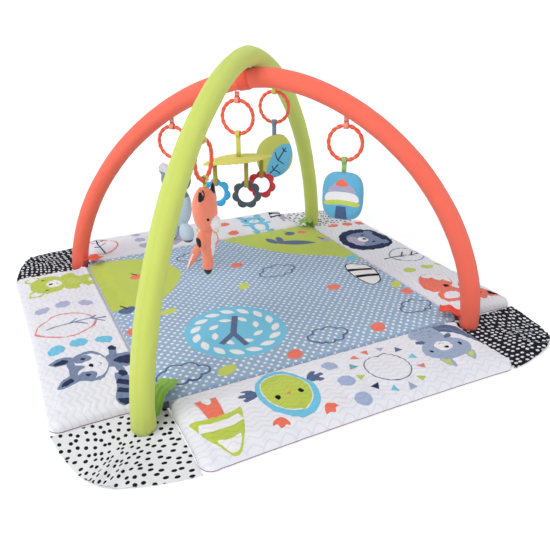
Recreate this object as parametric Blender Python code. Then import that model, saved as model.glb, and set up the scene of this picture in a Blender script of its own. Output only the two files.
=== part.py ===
"""Baby activity play gym: a padded square mat with four fold-up padded walls and dotted corner
gussets, two crossed padded arches, and toys that hang on open link rings.

Units are metres and +Z is up. The origin is on the floor under the middle of the mat.
The front wall faces -Y. One arch runs from back left to front right, the other from front left
to back right.
"""

import math

import bmesh
import bpy
from mathutils import Matrix, Vector

# ---- driving dimensions -------------------------------------------------------------------------
MAT_HALF = 0.460             # centre of the mat to the outer edge of a wall
CENTRE_HALF = 0.2985         # half side of the centre pad
PAD_HEIGHT = 0.024           # thickness of every pad
FOLD_LINE = 0.303            # distance from the middle to a wall's fold line
WALL_INNER = 0.3035          # inner edge of a wall that lies flat
WALL_HALF_LENGTH = 0.286     # half the length of a wall
PAD_CORNER = 0.020           # radius of a pad's upright corners
PAD_TOP_ROUND = 0.018        # rounding of a pad's top rim
PAD_BOTTOM_ROUND = 0.004
COVER_SKIN = 0.0015          # thickness of a pad's fabric cover
FILL_GAP = 0.0004            # air between a cover and its batting
GUSSET_INNER = 0.2865        # where a gusset starts beside a wall's end
GUSSET_SHEET = 0.0012        # thickness of a gusset
SLEEVE_RADIUS = 0.0185       # padded sleeve of an arch
SLEEVE_BORE = 0.0068
POLE_RADIUS = 0.0042
FERRULE_RADIUS = 0.0060
FERRULE_HALF = 0.035
CAP_RADIUS = 0.0060
CAP_LENGTH = 0.014
SLEEVE_FOOT = 0.0016         # height of a sleeve's lower end, just above the gusset
CORAL_HALF_SPAN = 0.4434     # centre of the mat to the foot of the coral arch, along its diagonal
CORAL_HEIGHT = 0.4520        # centreline height at the crown
CORAL_POWER = 1.77           # fullness of the arch's shoulders, 2 is an ellipse
CORAL_LEAN = 0.029           # how far the crown stands towards the front right foot
LIME_HALF_SPAN = 0.4700
LIME_HEIGHT = 0.4890
LIME_POWER = 1.712
LIME_LEAN = -0.0205          # towards the front left foot
ARCH_KNOTS = 30              # straight stretches along one arch
LINK_RADIUS = 0.0316         # centreline radius of a link ring
LINK_WIRE = 0.0039           # radius of a link ring's wire
LINK_DROP = 0.0150           # underside of a sleeve to the middle of the wire in its loop
LOOP_HOLE = 0.0049           # inside radius of a fabric loop that holds a link ring
LOOP_SKIN = 0.0013
LOOP_WIDTH = 0.0090
NEAR = 0.0003                # gap between pieces that touch

CORAL_YAW = math.radians(-45.0)
LIME_YAW = math.radians(45.0)

COLOURS = {
    "centre_blue": (0.31, 0.40, 0.50),
    "cloth_white": (0.86, 0.83, 0.88),
    "wadding": (0.90, 0.90, 0.88),
    "dots_white": (0.82, 0.82, 0.84),
    "dots_black": (0.012, 0.012, 0.02),
    "coral": (0.95, 0.16, 0.10),
    "lime": (0.56, 0.66, 0.06),
    "fibre_rod": (0.75, 0.74, 0.68),
    "steel": (0.55, 0.56, 0.58),
    "cap_black": (0.02, 0.02, 0.02),
    "link_orange": (0.83, 0.08, 0.02),
    "loop_pink": (0.93, 0.26, 0.20),
    "loop_lime": (0.60, 0.62, 0.06),
    "plush_grey": (0.33, 0.42, 0.48),
    "plush_fox": (0.92, 0.22, 0.11),
    "plush_blue": (0.10, 0.50, 0.75),
    "plush_leaf": (0.55, 0.68, 0.08),
    "flower_blue": (0.03, 0.42, 0.72),
    "flower_grey": (0.04, 0.07, 0.08),
    "flower_red": (0.75, 0.03, 0.03),
}
ROUGHNESS = {"steel": 0.3, "link_orange": 0.35, "cap_black": 0.5, "fibre_rod": 0.45,
             "flower_blue": 0.4, "flower_grey": 0.4, "flower_red": 0.4}


# ---- scene and materials ------------------------------------------------------------------------
def clear_scene():
    for old in list(bpy.data.objects):
        bpy.data.objects.remove(old, do_unlink=True)


def collection(name):
    made = bpy.data.collections.new(name)
    bpy.context.scene.collection.children.link(made)
    return made


def material(colour_name):
    found = bpy.data.materials.get(colour_name)
    if found:
        return found
    made = bpy.data.materials.new(colour_name)
    made.use_nodes = True
    shader = made.node_tree.nodes["Principled BSDF"]
    shader.inputs["Base Color"].default_value = (*COLOURS[colour_name], 1.0)
    shader.inputs["Roughness"].default_value = ROUGHNESS.get(colour_name, 0.9)
    shader.inputs["Metallic"].default_value = 1.0 if colour_name == "steel" else 0.0
    return made


def own_material(node, colour_name):
    """A copy of a colour that belongs to one sub-part."""
    made = material(colour_name).copy()
    made.name = node
    return made


def mesh_object(name, mesh, colour_name, home):
    made = bpy.data.objects.new(name, mesh)
    if colour_name:
        mesh.materials.clear()
        mesh.materials.append(own_material(name, colour_name))
    home.objects.link(made)
    return made


def bake_mesh(source, name, weld=0.00002):
    """The evaluated shape of an object as a welded mesh in world space. The source is removed."""
    bpy.context.view_layer.update()
    seen = source.evaluated_get(bpy.context.evaluated_depsgraph_get())
    mesh = bpy.data.meshes.new_from_object(seen)
    mesh.name = name
    bm = bmesh.new()
    bm.from_mesh(mesh)
    bmesh.ops.remove_doubles(bm, verts=bm.verts, dist=weld)
    bmesh.ops.transform(bm, matrix=source.matrix_world, verts=bm.verts)
    bmesh.ops.recalc_face_normals(bm, faces=bm.faces)
    bm.to_mesh(mesh)
    bm.free()
    bpy.data.objects.remove(source, do_unlink=True)
    return mesh


def smooth(thing, angle=40.0):
    thing.data.shade_smooth()
    thing.data.set_sharp_from_angle(angle=math.radians(angle))


# ---- shapes -------------------------------------------------------------------------------------
def tube_mesh(name, points, radius, sides, radii=None, twist="Z_UP"):
    """A round bar along a polyline, as a bevelled curve with filled ends. Z_UP keeps nested bars' facets aligned."""
    curve = bpy.data.curves.new(name, "CURVE")
    curve.dimensions = "3D"
    curve.twist_mode = twist
    curve.bevel_depth = radius
    curve.bevel_resolution = (sides - 4) // 2
    curve.use_fill_caps = True
    curve.render_resolution_u = 0
    spline = curve.splines.new("POLY")
    spline.points.add(len(points) - 1)
    for i, (knot, point) in enumerate(zip(spline.points, points)):
        knot.co = (*point, 1.0)
        if radii:
            knot.radius = radii[i]
    holder = bpy.data.objects.new(name, curve)
    bpy.context.scene.collection.objects.link(holder)
    return bake_mesh(holder, name)


def slab_mesh(name, outline, thickness, holes=(), rounding=0.0):
    """A flat outline in the XY plane given a thickness, centred on Z = 0."""
    curve = bpy.data.curves.new(name, "CURVE")
    curve.dimensions = "2D"
    curve.fill_mode = "BOTH"
    curve.extrude = thickness / 2 - rounding
    curve.bevel_depth = rounding
    curve.bevel_resolution = 1
    curve.offset = -rounding
    curve.render_resolution_u = 0
    for ring in (outline, *holes):
        spline = curve.splines.new("POLY")
        spline.use_cyclic_u = True
        spline.points.add(len(ring) - 1)
        for knot, (x, y) in zip(spline.points, ring):
            knot.co = (x, y, 0.0, 1.0)
    holder = bpy.data.objects.new(name, curve)
    bpy.context.scene.collection.objects.link(holder)
    return bake_mesh(holder, name)


def block_mesh(name, low, high):
    """A box between two corners."""
    bm = bmesh.new()
    bmesh.ops.create_cube(bm, size=1.0)
    low = Vector(low)
    high = Vector(high)
    bmesh.ops.scale(bm, vec=high - low, verts=bm.verts)
    bmesh.ops.translate(bm, vec=(low + high) / 2, verts=bm.verts)
    mesh = bpy.data.meshes.new(name)
    bm.to_mesh(mesh)
    bm.free()
    return mesh


def rim_edges(bm, height):
    """Edges where a flat top or bottom at this height meets the sides."""
    found = []
    for edge in bm.edges:
        if any(abs(v.co.z - height) > 1e-6 for v in edge.verts):
            continue
        if any(abs(face.normal.z) < 0.5 for face in edge.link_faces):
            found.append(edge)
    return found


def pillow_mesh(name, low, high, inset):
    """A padded panel: a box with rounded upright corners, a full round top rim and a small bottom one."""
    low = Vector(low) + Vector((inset, inset, inset))
    high = Vector(high) - Vector((inset, inset, inset))
    bm = bmesh.new()
    bm.from_mesh(block_mesh(name, low, high))
    upright = [e for e in bm.edges if abs(e.verts[0].co.z - e.verts[1].co.z) > 1e-6]
    bmesh.ops.bevel(bm, geom=upright, offset=PAD_CORNER - inset, segments=3, profile=0.5, affect="EDGES")
    bm.normal_update()
    bmesh.ops.bevel(bm, geom=rim_edges(bm, high.z), offset=PAD_TOP_ROUND - inset, segments=3,
                    profile=0.5, affect="EDGES")
    bm.normal_update()
    bmesh.ops.bevel(bm, geom=rim_edges(bm, low.z), offset=PAD_BOTTOM_ROUND - inset / 2, segments=1,
                    profile=0.5, affect="EDGES")
    mesh = bpy.data.meshes.new(name)
    bm.to_mesh(mesh)
    bm.free()
    return mesh


def circle(radius, count, centre=(0.0, 0.0), start=0.0):
    """Points round a circle, in order."""
    return [(centre[0] + radius * math.cos(start + math.tau * i / count),
             centre[1] + radius * math.sin(start + math.tau * i / count)) for i in range(count)]


def turned(mesh, yaw=0.0, tilt=0.0, spin=0.0, shift=(0.0, 0.0, 0.0)):
    """Turn a mesh about Z (spin), then X (tilt), then Z (yaw), and move it."""
    turn = Matrix.Rotation(yaw, 4, "Z") @ Matrix.Rotation(tilt, 4, "X") @ Matrix.Rotation(spin, 4, "Z")
    mesh.transform(Matrix.Translation(Vector(shift)) @ turn)
    return mesh


def cut(target, cutter_mesh, cutters, operation="DIFFERENCE"):
    """Boolean a tool mesh into an object and keep the result as plain mesh."""
    tool = mesh_object("tool_" + target.name, cutter_mesh, None, cutters)
    tool.hide_render = True
    tool.display_type = "WIRE"
    step = target.modifiers.new(operation.title(), "BOOLEAN")
    step.operation = operation
    step.solver = "EXACT"
    step.object = tool


# ---- arches -------------------------------------------------------------------------------------
class Arch:
    """A leaning superellipse arch over one diagonal of the mat, as a polyline with even stretches."""

    def __init__(self, half_span, height, power, lean, yaw):
        self.half_span = half_span
        self.height = height
        self.power = power
        self.lean = lean
        self.turn = Matrix.Rotation(yaw, 3, "Z")
        fine = [self.on_curve(math.pi * (1 - i / 2000)) for i in range(2001)]
        walked = [0.0]
        for a, b in zip(fine, fine[1:]):
            walked.append(walked[-1] + math.dist(a, b))
        self.length = walked[-1]
        self.knots = []
        k = 0
        for i in range(ARCH_KNOTS + 1):
            goal = self.length * i / ARCH_KNOTS
            while k < 1999 and walked[k + 1] < goal:
                k += 1
            share = (goal - walked[k]) / (walked[k + 1] - walked[k])
            self.knots.append(tuple(p + (q - p) * share for p, q in zip(fine[k], fine[k + 1])))
        self.step = self.length / ARCH_KNOTS

    def on_curve(self, turn):
        """Point of the arch in its own plane: distance along the diagonal and height."""
        c = math.cos(turn)
        s = max(math.sin(turn), 0.0)
        along = math.copysign(abs(c) ** (2 / self.power), c) * self.half_span
        rise = s ** (2 / self.power)
        return along + self.lean * rise, self.height * rise

    def world(self, along, height):
        return self.turn @ Vector((along, 0.0, height))

    def height_at(self, along):
        """Height over a point of the diagonal; the lean is taken off by a few repeats."""
        rise = 0.0
        for _ in range(40):
            upright = (along - self.lean * rise) / self.half_span
            rise = (1 - abs(upright) ** self.power) ** (1 / self.power)
        return self.height * rise

    def slope_at(self, along):
        """Steepness of the centreline, as an angle."""
        rise = self.height_at(along + 0.0005) - self.height_at(along - 0.0005)
        return math.atan2(rise, 0.001)

    def at(self, walked):
        """Point of the polyline after walking this far from the first foot."""
        i = min(int(walked / self.step), ARCH_KNOTS - 1)
        share = walked / self.step - i
        return tuple(p + (q - p) * share for p, q in zip(self.knots[i], self.knots[i + 1]))

    def stretch(self, start, end):
        """World points of the polyline between two walked distances, with every knot on the way."""
        walk = [start]
        for i in range(1, ARCH_KNOTS):
            if start + 0.001 < i * self.step < end - 0.001:
                walk.append(i * self.step)
        walk.append(end)
        return [self.world(*self.at(w)) for w in walk]

    def overrun(self, extra):
        """The whole polyline, carried on in a straight line past both feet."""
        line = self.stretch(0.0, self.length)
        line[0] = line[0] + (line[0] - line[1]).normalized() * extra
        line[-1] = line[-1] + (line[-1] - line[-2]).normalized() * extra
        return line

    def hanging_point(self, along, skin=0.0):
        """The middle of a link ring's wire under the sleeve."""
        under = self.height_at(along) - (SLEEVE_RADIUS + skin) / math.cos(self.slope_at(along))
        return self.world(along, under - LINK_DROP)


def build_arch(prefix, arch, colour, parts, cutters):
    """Two rods joined by a ferrule, end caps, and a thick padded sleeve open at both feet."""
    end = arch.length
    middle = end / 2
    reach = arch.overrun(0.02)
    sleeve = mesh_object(prefix + "_sleeve", tube_mesh("sleeve", reach, SLEEVE_RADIUS, 12), colour, parts)
    cut(sleeve, tube_mesh("bore", arch.overrun(0.04), SLEEVE_BORE, 8), cutters)
    cut(sleeve, block_mesh("ground", (-0.5, -0.5, -0.1), (0.5, 0.5, SLEEVE_FOOT)), cutters)
    smooth(sleeve, 60.0)
    for side, start, stop in (("a", 0.006, middle - 0.0006), ("b", middle + 0.0006, end - 0.006)):
        pole = mesh_object(prefix + "_pole_" + side,
                           tube_mesh("pole", arch.stretch(start, stop), POLE_RADIUS, 8), "fibre_rod", parts)
        smooth(pole, 60.0)
    ferrule = mesh_object(prefix + "_ferrule",
                          tube_mesh("ferrule", arch.stretch(middle - FERRULE_HALF, middle + FERRULE_HALF),
                                    FERRULE_RADIUS, 8), "steel", parts)
    wide = arch.stretch(middle - FERRULE_HALF - 0.01, middle + FERRULE_HALF + 0.01)
    cut(ferrule, tube_mesh("ferrule_bore", wide, POLE_RADIUS + NEAR, 8), cutters)
    smooth(ferrule, 60.0)
    for side, low, high in (("a", 0.0035, 0.0035 + CAP_LENGTH), ("b", end - 0.0035 - CAP_LENGTH, end - 0.0035)):
        cap = mesh_object(prefix + "_cap_" + side,
                          tube_mesh("cap", arch.stretch(low, high), CAP_RADIUS, 8), "cap_black", parts)
        inner = (0.006 - NEAR, high + 0.01) if side == "a" else (low - 0.01, end - 0.006 + NEAR)
        cut(cap, tube_mesh("cap_bore", arch.stretch(*inner), POLE_RADIUS + NEAR, 8), cutters)
        smooth(cap, 60.0)


def build_foot_tab(name, arch, first_foot, colour, parts, cutters):
    """A fabric band round the foot of a sleeve with a tongue that lies on the centre pad's corner."""
    low, high = (0.0235, 0.0400) if first_foot else (arch.length - 0.0400, arch.length - 0.0235)
    band = tube_mesh("band", arch.stretch(low, high), SLEEVE_RADIUS + 0.0020, 12)
    tab = mesh_object(name, band, colour, parts)
    side = -1.0 if first_foot else 1.0
    near, far = sorted((side * 0.3880, side * arch.half_span))
    tongue = block_mesh("tongue", (near, -0.0145, PAD_HEIGHT + 0.0006), (far, 0.0145, PAD_HEIGHT + 0.0024))
    tongue.transform(arch.turn.to_4x4())
    cut(tab, tongue, cutters, "UNION")
    hole = arch.stretch(0.002, 0.09) if first_foot else arch.stretch(arch.length - 0.09, arch.length - 0.002)
    cut(tab, tube_mesh("foot_hole", hole, SLEEVE_RADIUS + 0.0004, 12), cutters)
    smooth(tab, 40.0)
    return tab


# ---- mat ----------------------------------------------------------------------------------------
def build_pad(name, low, high, colour, pivot, parts, cutters, yaw=0.0):
    """A sewn cover with a turning slot in its outer edge, and the batting inside it."""
    stuff = []
    layers = ((name + "_cover", 0.0, colour), (name + "_batting", COVER_SKIN + FILL_GAP, "wadding"))
    for node, inset, tint in layers:
        piece = mesh_object(node, pillow_mesh(node, low, high, inset), tint, parts)
        piece.data.transform(Matrix.Rotation(yaw, 4, "Z"))
        stuff.append(piece)
    hollow = pillow_mesh("hollow", low, high, COVER_SKIN)
    hollow.transform(Matrix.Rotation(yaw, 4, "Z"))
    slot = block_mesh("slot", (low[0] * 0.6, low[1] - 0.01, 0.0070), (high[0] * 0.6, low[1] + 0.008, 0.0120))
    slot.transform(Matrix.Rotation(yaw, 4, "Z"))
    cut(stuff[0], hollow, cutters)
    cut(stuff[0], slot, cutters)
    for piece in stuff:
        smooth(piece, 50.0)
        if pivot:
            hang(piece, pivot)


def build_gusset(name, quarter_turns, colour, parts):
    """A thin corner cloth between two walls, with its outer corner drawn in."""
    inner = GUSSET_INNER
    notch = CENTRE_HALF + 0.0010
    outline = [(inner, notch), (notch, notch), (notch, inner), (MAT_HALF, inner), (MAT_HALF - 0.002, 0.350),
               (0.449, 0.405), (0.431, 0.431), (0.405, 0.449), (0.350, MAT_HALF - 0.002), (inner, MAT_HALF)]
    mesh = slab_mesh(name, outline, GUSSET_SHEET)
    turned(mesh, yaw=quarter_turns * math.pi / 2, shift=(0.0, 0.0, GUSSET_SHEET / 2))
    return mesh_object(name, mesh, colour, parts)


# ---- pivots -------------------------------------------------------------------------------------
def pivot_at(name, place, home, parent=None):
    """An empty on a joint's axis; the pieces that move with the joint are its children."""
    empty = bpy.data.objects.new(name, None)
    empty.empty_display_size = 0.02
    home.objects.link(empty)
    empty.location = place
    bpy.context.view_layer.update()
    if parent:
        world = empty.matrix_world.copy()
        empty.parent = parent
        empty.matrix_parent_inverse = parent.matrix_world.inverted()
        empty.matrix_world = world
    bpy.context.view_layer.update()
    return empty


def hang(piece, pivot):
    """Parent a piece modelled in place to its pivot, with the piece's origin on the pivot."""
    bpy.context.view_layer.update()
    place = pivot.matrix_world.translation.copy()
    piece.data.transform(Matrix.Translation(-place))
    piece.parent = pivot
    piece.matrix_parent_inverse = pivot.matrix_world.inverted()
    piece.matrix_world = Matrix.Translation(place)
    return piece


# ---- hanging pieces -----------------------------------------------------------------------------
def loop_outline(stem, stem_half):
    """Keyhole outline: a round eye at the origin with a stem that rises to the given height."""
    outer = LOOP_HOLE + LOOP_SKIN
    lift = math.asin(stem_half / outer)
    start = math.pi / 2 + lift
    sweep = math.tau - 2 * lift
    eye = [(outer * math.cos(start + sweep * i / 11), outer * math.sin(start + sweep * i / 11)) for i in range(12)]
    return eye + [(stem_half, stem), (-stem_half, stem)]


def loop_mesh(name, place, yaw, stem, downward=False, stem_half=0.0015, width=LOOP_WIDTH):
    """A fabric loop whose eye runs along the wire that it holds."""
    mesh = slab_mesh(name, loop_outline(stem, stem_half), width, [circle(LOOP_HOLE, 12)])
    if downward:
        mesh.transform(Matrix.Rotation(math.pi, 4, "Z"))
    mesh.transform(Matrix.Rotation(math.pi / 2, 4, "Z") @ Matrix.Rotation(math.pi / 2, 4, "X"))
    mesh.transform(Matrix.Translation(place) @ Matrix.Rotation(yaw, 4, "Z"))
    return mesh


def link_mesh(name, top, yaw):
    """An open link ring that hangs from the middle of its top wire, with a narrow snap gap at one side."""
    gap = 0.035
    points = []
    for i in range(21):
        angle = gap + (math.tau - 2 * gap) * i / 20
        points.append((LINK_RADIUS * math.cos(angle), 0.0, LINK_RADIUS * math.sin(angle) - LINK_RADIUS))
    mesh = tube_mesh(name, points, LINK_WIRE, 8, twist="MINIMUM")
    mesh.transform(Matrix.Translation(top) @ Matrix.Rotation(yaw, 4, "Z"))
    return mesh


def build_hanger(prefix, arch, along, yaw, loop_colour, parts, cutters, sleeve_cutter, skin=0.0):
    """The fabric loop sewn under a sleeve and the link ring that swings in it."""
    top = arch.hanging_point(along, skin)
    loop = mesh_object(prefix + "_hanger_loop", loop_mesh("loop", top, yaw, LINK_DROP + 0.014), loop_colour, parts)
    cut(loop, sleeve_cutter.copy(), cutters)
    swing = pivot_at(prefix + "_link_pivot", top, parts)
    ring = mesh_object(prefix + "_link_ring", link_mesh("link", top, yaw), "link_orange", parts)
    smooth(ring, 60.0)
    hang(ring, swing)
    bottom = top - Vector((0.0, 0.0, 2 * LINK_RADIUS))
    return pivot_at(prefix + "_toy_pivot", bottom, parts, swing), bottom


def hang_loop(prefix, place, yaw, pivot, stem, colour, parts):
    """The fabric loop on top of a toy, round the bottom wire of its link ring."""
    loop = mesh_object(prefix + "_hang_loop", loop_mesh("loop", place, yaw, stem, True), colour, parts)
    return hang(loop, pivot)


def ball(name, centre, size, yaw=0.0, turn=0.0, segments=12, rings=8):
    """An ellipsoid; turn tips it in its own XZ plane."""
    bm = bmesh.new()
    bmesh.ops.create_uvsphere(bm, u_segments=segments, v_segments=rings, radius=0.5)
    bmesh.ops.scale(bm, vec=size, verts=bm.verts)
    bmesh.ops.rotate(bm, matrix=Matrix.Rotation(turn, 3, "Y"), verts=bm.verts)
    bmesh.ops.translate(bm, vec=centre, verts=bm.verts)
    mesh = bpy.data.meshes.new(name)
    bm.to_mesh(mesh)
    bm.free()
    return mesh


def cone(name, centre, base, tip_height, turn=0.0, flat=0.5):
    """A soft ear: a flattened cone that stands on its centre point."""
    bm = bmesh.new()
    bmesh.ops.create_cone(bm, cap_ends=True, cap_tris=False, segments=8, radius1=base, radius2=base * 0.15,
                          depth=tip_height)
    bmesh.ops.scale(bm, vec=(1.0, flat, 1.0), verts=bm.verts)
    bmesh.ops.translate(bm, vec=(0.0, 0.0, tip_height / 2), verts=bm.verts)
    bmesh.ops.rotate(bm, matrix=Matrix.Rotation(turn, 3, "Y"), verts=bm.verts)
    bmesh.ops.translate(bm, vec=centre, verts=bm.verts)
    mesh = bpy.data.meshes.new(name)
    bm.to_mesh(mesh)
    bm.free()
    return mesh


def build_plush(name, pieces, place, yaw, colour, pivot, parts, cutters):
    """A stuffed toy: overlapping soft shapes joined into one body under its hang loop."""
    for mesh in pieces:
        mesh.transform(Matrix.Translation(place) @ Matrix.Rotation(yaw, 4, "Z"))
    toy = mesh_object(name, pieces[0], colour, parts)
    for mesh in pieces[1:]:
        cut(toy, mesh, cutters, "UNION")
    body = bake_mesh(toy, name)
    toy = mesh_object(name, body, colour, parts)
    smooth(toy, 50.0)
    return hang(toy, pivot)


def leaf_outline(length, width, count):
    """A pointed leaf along X."""
    points = []
    for side in (1.0, -1.0):
        for i in range(count):
            share = i / count
            x = -side * length * (share - 0.5) if side > 0 else length * (share - 0.5)
            points.append((x, side * width / 2 * math.sin(math.pi * share) ** 0.8))
    return points


def flower_outline(radius, petals, per_petal):
    """A ring of round petals."""
    points = []
    for i in range(petals * per_petal):
        angle = math.tau * i / (petals * per_petal) + math.pi / 2
        bulge = abs(math.cos((angle - math.pi / 2) * petals / 2))
        points.append(((radius - 0.0055 + 0.0055 * bulge) * math.cos(angle),
                       (radius - 0.0055 + 0.0055 * bulge) * math.sin(angle)))
    return points


def build_pendant(prefix, place, yaw, drop, colour, parent, parts):
    """A strap sewn under the canopy that holds a petalled teething ring."""
    outer = 0.0295
    hole = 0.0165
    thick = 0.0070
    swing = pivot_at(prefix + "_pivot", place, parts, parent)
    half = thick / 2 + 0.0007
    skin = 0.0013
    eye_low = -drop - (outer - hole) - 0.0012
    inner = [(-half, -drop + 0.0012), (-half, eye_low), (half, eye_low), (half, -drop + 0.0012)]
    low = eye_low - skin
    outline = [(-0.0009, -0.0006), (-0.0009, -drop + 0.0075), (-half - skin, -drop + 0.0012), (-half - skin, low),
               (half + skin, low), (half + skin, -drop + 0.0012), (0.0009, -drop + 0.0075), (0.0009, -0.0006)]
    strap = slab_mesh("strap", outline, 0.0085, [inner])
    strap.transform(Matrix.Rotation(math.pi / 2, 4, "Z") @ Matrix.Rotation(math.pi / 2, 4, "X"))
    strap.transform(Matrix.Translation(place) @ Matrix.Rotation(yaw, 4, "Z"))
    hang(mesh_object(prefix + "_strap", strap, "loop_lime", parts), swing)
    flower = slab_mesh("flower", flower_outline(outer, 7, 6), thick, [circle(hole, 20)])
    flower.transform(Matrix.Rotation(math.pi / 2, 4, "X"))
    centre = place - Vector((0.0, 0.0, drop + outer))
    flower.transform(Matrix.Translation(centre) @ Matrix.Rotation(yaw, 4, "Z"))
    ring = mesh_object(prefix + "_flower_ring", flower, colour, parts)
    smooth(ring, 30.0)
    hang(ring, swing)


# ---- the whole gym ------------------------------------------------------------------------------
def build_mat(parts, cutters):
    build_pad("centre", (-CENTRE_HALF, -CENTRE_HALF, 0.0), (CENTRE_HALF, CENTRE_HALF, PAD_HEIGHT),
              "centre_blue", None, parts, cutters)
    walls = (("front", 0.0), ("right", math.pi / 2), ("back", math.pi), ("left", -math.pi / 2))
    for side, yaw in walls:
        fold = Matrix.Rotation(yaw, 3, "Z") @ Vector((0.0, -FOLD_LINE, PAD_HEIGHT))
        hinge = pivot_at("fold_" + side, fold, parts)
        build_pad("wall_" + side, (-WALL_HALF_LENGTH, -MAT_HALF, 0.0), (WALL_HALF_LENGTH, -WALL_INNER, PAD_HEIGHT),
                  "cloth_white", hinge, parts, cutters, yaw)
    build_gusset("gusset_back_right", 0, "dots_white", parts)
    build_gusset("gusset_back_left", 1, "dots_black", parts)
    build_gusset("gusset_front_left", 2, "dots_white", parts)
    build_gusset("gusset_front_right", 3, "dots_black", parts)


def build_toys(coral, lime, parts, cutters):
    coral_skin = tube_mesh("coral_skin", coral.overrun(0.01), SLEEVE_RADIUS + NEAR, 12)
    lime_skin = tube_mesh("lime_skin", lime.overrun(0.01), SLEEVE_RADIUS + NEAR, 12)
    strap_skin = tube_mesh("strap_skin", coral.stretch(0.3, coral.length - 0.3), SLEEVE_RADIUS + 0.0016 + NEAR, 12)

    pivot, low = build_hanger("grey", coral, -0.171, CORAL_YAW, "loop_pink", parts, cutters, coral_skin)
    hang_loop("grey", low, CORAL_YAW, pivot, 0.0180, "plush_grey", parts)
    grey = [ball("head", (0.0, 0.0, -0.046), (0.066, 0.044, 0.056)),
            ball("body", (0.002, 0.0, -0.104), (0.058, 0.042, 0.090)),
            ball("ear", (-0.026, 0.0, -0.026), (0.026, 0.014, 0.026), segments=8, rings=6),
            ball("ear", (0.026, 0.0, -0.026), (0.026, 0.014, 0.026), segments=8, rings=6),
            ball("leg", (-0.014, -0.006, -0.160), (0.030, 0.034, 0.044), turn=0.3, segments=8, rings=6),
            ball("leg", (0.020, -0.006, -0.160), (0.030, 0.034, 0.044), turn=-0.3, segments=8, rings=6)]
    build_plush("grey_plush", grey, low, CORAL_YAW, "plush_grey", pivot, parts, cutters)

    pivot, low = build_hanger("fox", lime, -0.2213, LIME_YAW, "loop_lime", parts, cutters, lime_skin)
    hang_loop("fox", low, LIME_YAW, pivot, 0.0150, "loop_lime", parts)
    fox_yaw = math.radians(-62.0)
    fox = [ball("head", (0.0, 0.0, -0.050), (0.052, 0.040, 0.064)),
           cone("ear", (-0.012, 0.0, -0.034), 0.013, 0.030, -0.35),
           cone("ear", (0.012, 0.0, -0.034), 0.013, 0.030, 0.35),
           ball("body", (0.002, 0.0, -0.104), (0.036, 0.030, 0.072)),
           ball("arm", (-0.016, -0.010, -0.092), (0.018, 0.018, 0.036), turn=0.5, segments=8, rings=6),
           ball("leg", (-0.004, 0.0, -0.146), (0.020, 0.022, 0.046), turn=0.1, segments=8, rings=6)]
    build_plush("fox_plush", fox, low, fox_yaw, "plush_fox", pivot, parts, cutters)
    tail_turn = Matrix.Rotation(fox_yaw, 3, "Z")
    tail = [(-0.0195, 0.013, -0.107), (-0.030, 0.014, -0.122), (-0.040, 0.014, -0.140), (-0.045, 0.013, -0.158),
            (-0.047, 0.012, -0.172)]
    tail_mesh = tube_mesh("tail", [low + tail_turn @ Vector(p) for p in tail], 0.0075, 8,
                          [0.5, 0.8, 1.0, 0.9, 0.45], "MINIMUM")
    tail_piece = mesh_object("fox_tail", tail_mesh, "plush_fox", parts)
    smooth(tail_piece, 60.0)
    hang(tail_piece, pivot)

    pivot, low = build_hanger("leaf", lime, 0.134, CORAL_YAW, "loop_lime", parts, cutters, lime_skin)
    hang_loop("leaf", low, CORAL_YAW, pivot, 0.0200, "plush_grey", parts)
    leaf = slab_mesh("leaf", leaf_outline(0.112, 0.080, 10), 0.022, rounding=0.006)
    turned(leaf, tilt=math.pi / 2, spin=math.radians(62.0), shift=(0.0, 0.0, -0.0730))
    build_plush("leaf_plush", [leaf], low, CORAL_YAW, "plush_leaf", pivot, parts, cutters)

    pivot, low = build_hanger("tree", coral, 0.183, CORAL_YAW, "loop_pink", parts, cutters, coral_skin)
    hang_loop("tree", low, CORAL_YAW, pivot, 0.0220, "loop_lime", parts)
    dome = []
    for i in range(24):
        turn = math.tau * i / 24
        wide = math.copysign(abs(math.cos(turn)) ** 0.62, math.cos(turn))
        tall = math.copysign(abs(math.sin(turn)) ** 0.70, math.sin(turn))
        dome.append((0.040 * wide, 0.047 * tall))
    tree = slab_mesh("tree", dome, 0.026, rounding=0.008)
    turned(tree, tilt=math.pi / 2, shift=(0.0, 0.0, -0.0695))
    build_plush("tree_plush", [tree], low, CORAL_YAW, "plush_blue", pivot, parts, cutters)

    pivot, low = build_hanger("mobile", coral, -0.029, CORAL_YAW, "loop_pink", parts, cutters, strap_skin, 0.0016)
    strap = mesh_object("mobile_strap", loop_mesh("strap", low, CORAL_YAW, 0.0450, True), "loop_lime", parts)
    hang(strap, pivot)
    canopy = slab_mesh("canopy", leaf_outline(0.156, 0.074, 10), 0.0070, rounding=0.0020)
    turned(canopy, yaw=math.radians(4.0), shift=low - Vector((0.0, 0.0, 0.0450 + NEAR + 0.0035)))
    canopy_piece = mesh_object("mobile_canopy", canopy, "plush_leaf", parts)
    smooth(canopy_piece, 40.0)
    hang(canopy_piece, pivot)
    under = low.z - 0.0450 - NEAR - 0.0070 - 0.0008
    for prefix, dx, dy, drop, colour in (("pendant_blue", -0.050, 0.002, 0.030, "flower_blue"),
                                         ("pendant_grey", 0.006, -0.022, 0.034, "flower_grey"),
                                         ("pendant_red", 0.050, 0.002, 0.026, "flower_red")):
        place = Vector((low.x + dx, low.y + dy, under))
        build_pendant(prefix, place, math.radians(-26.0), drop, colour, pivot, parts)


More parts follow.
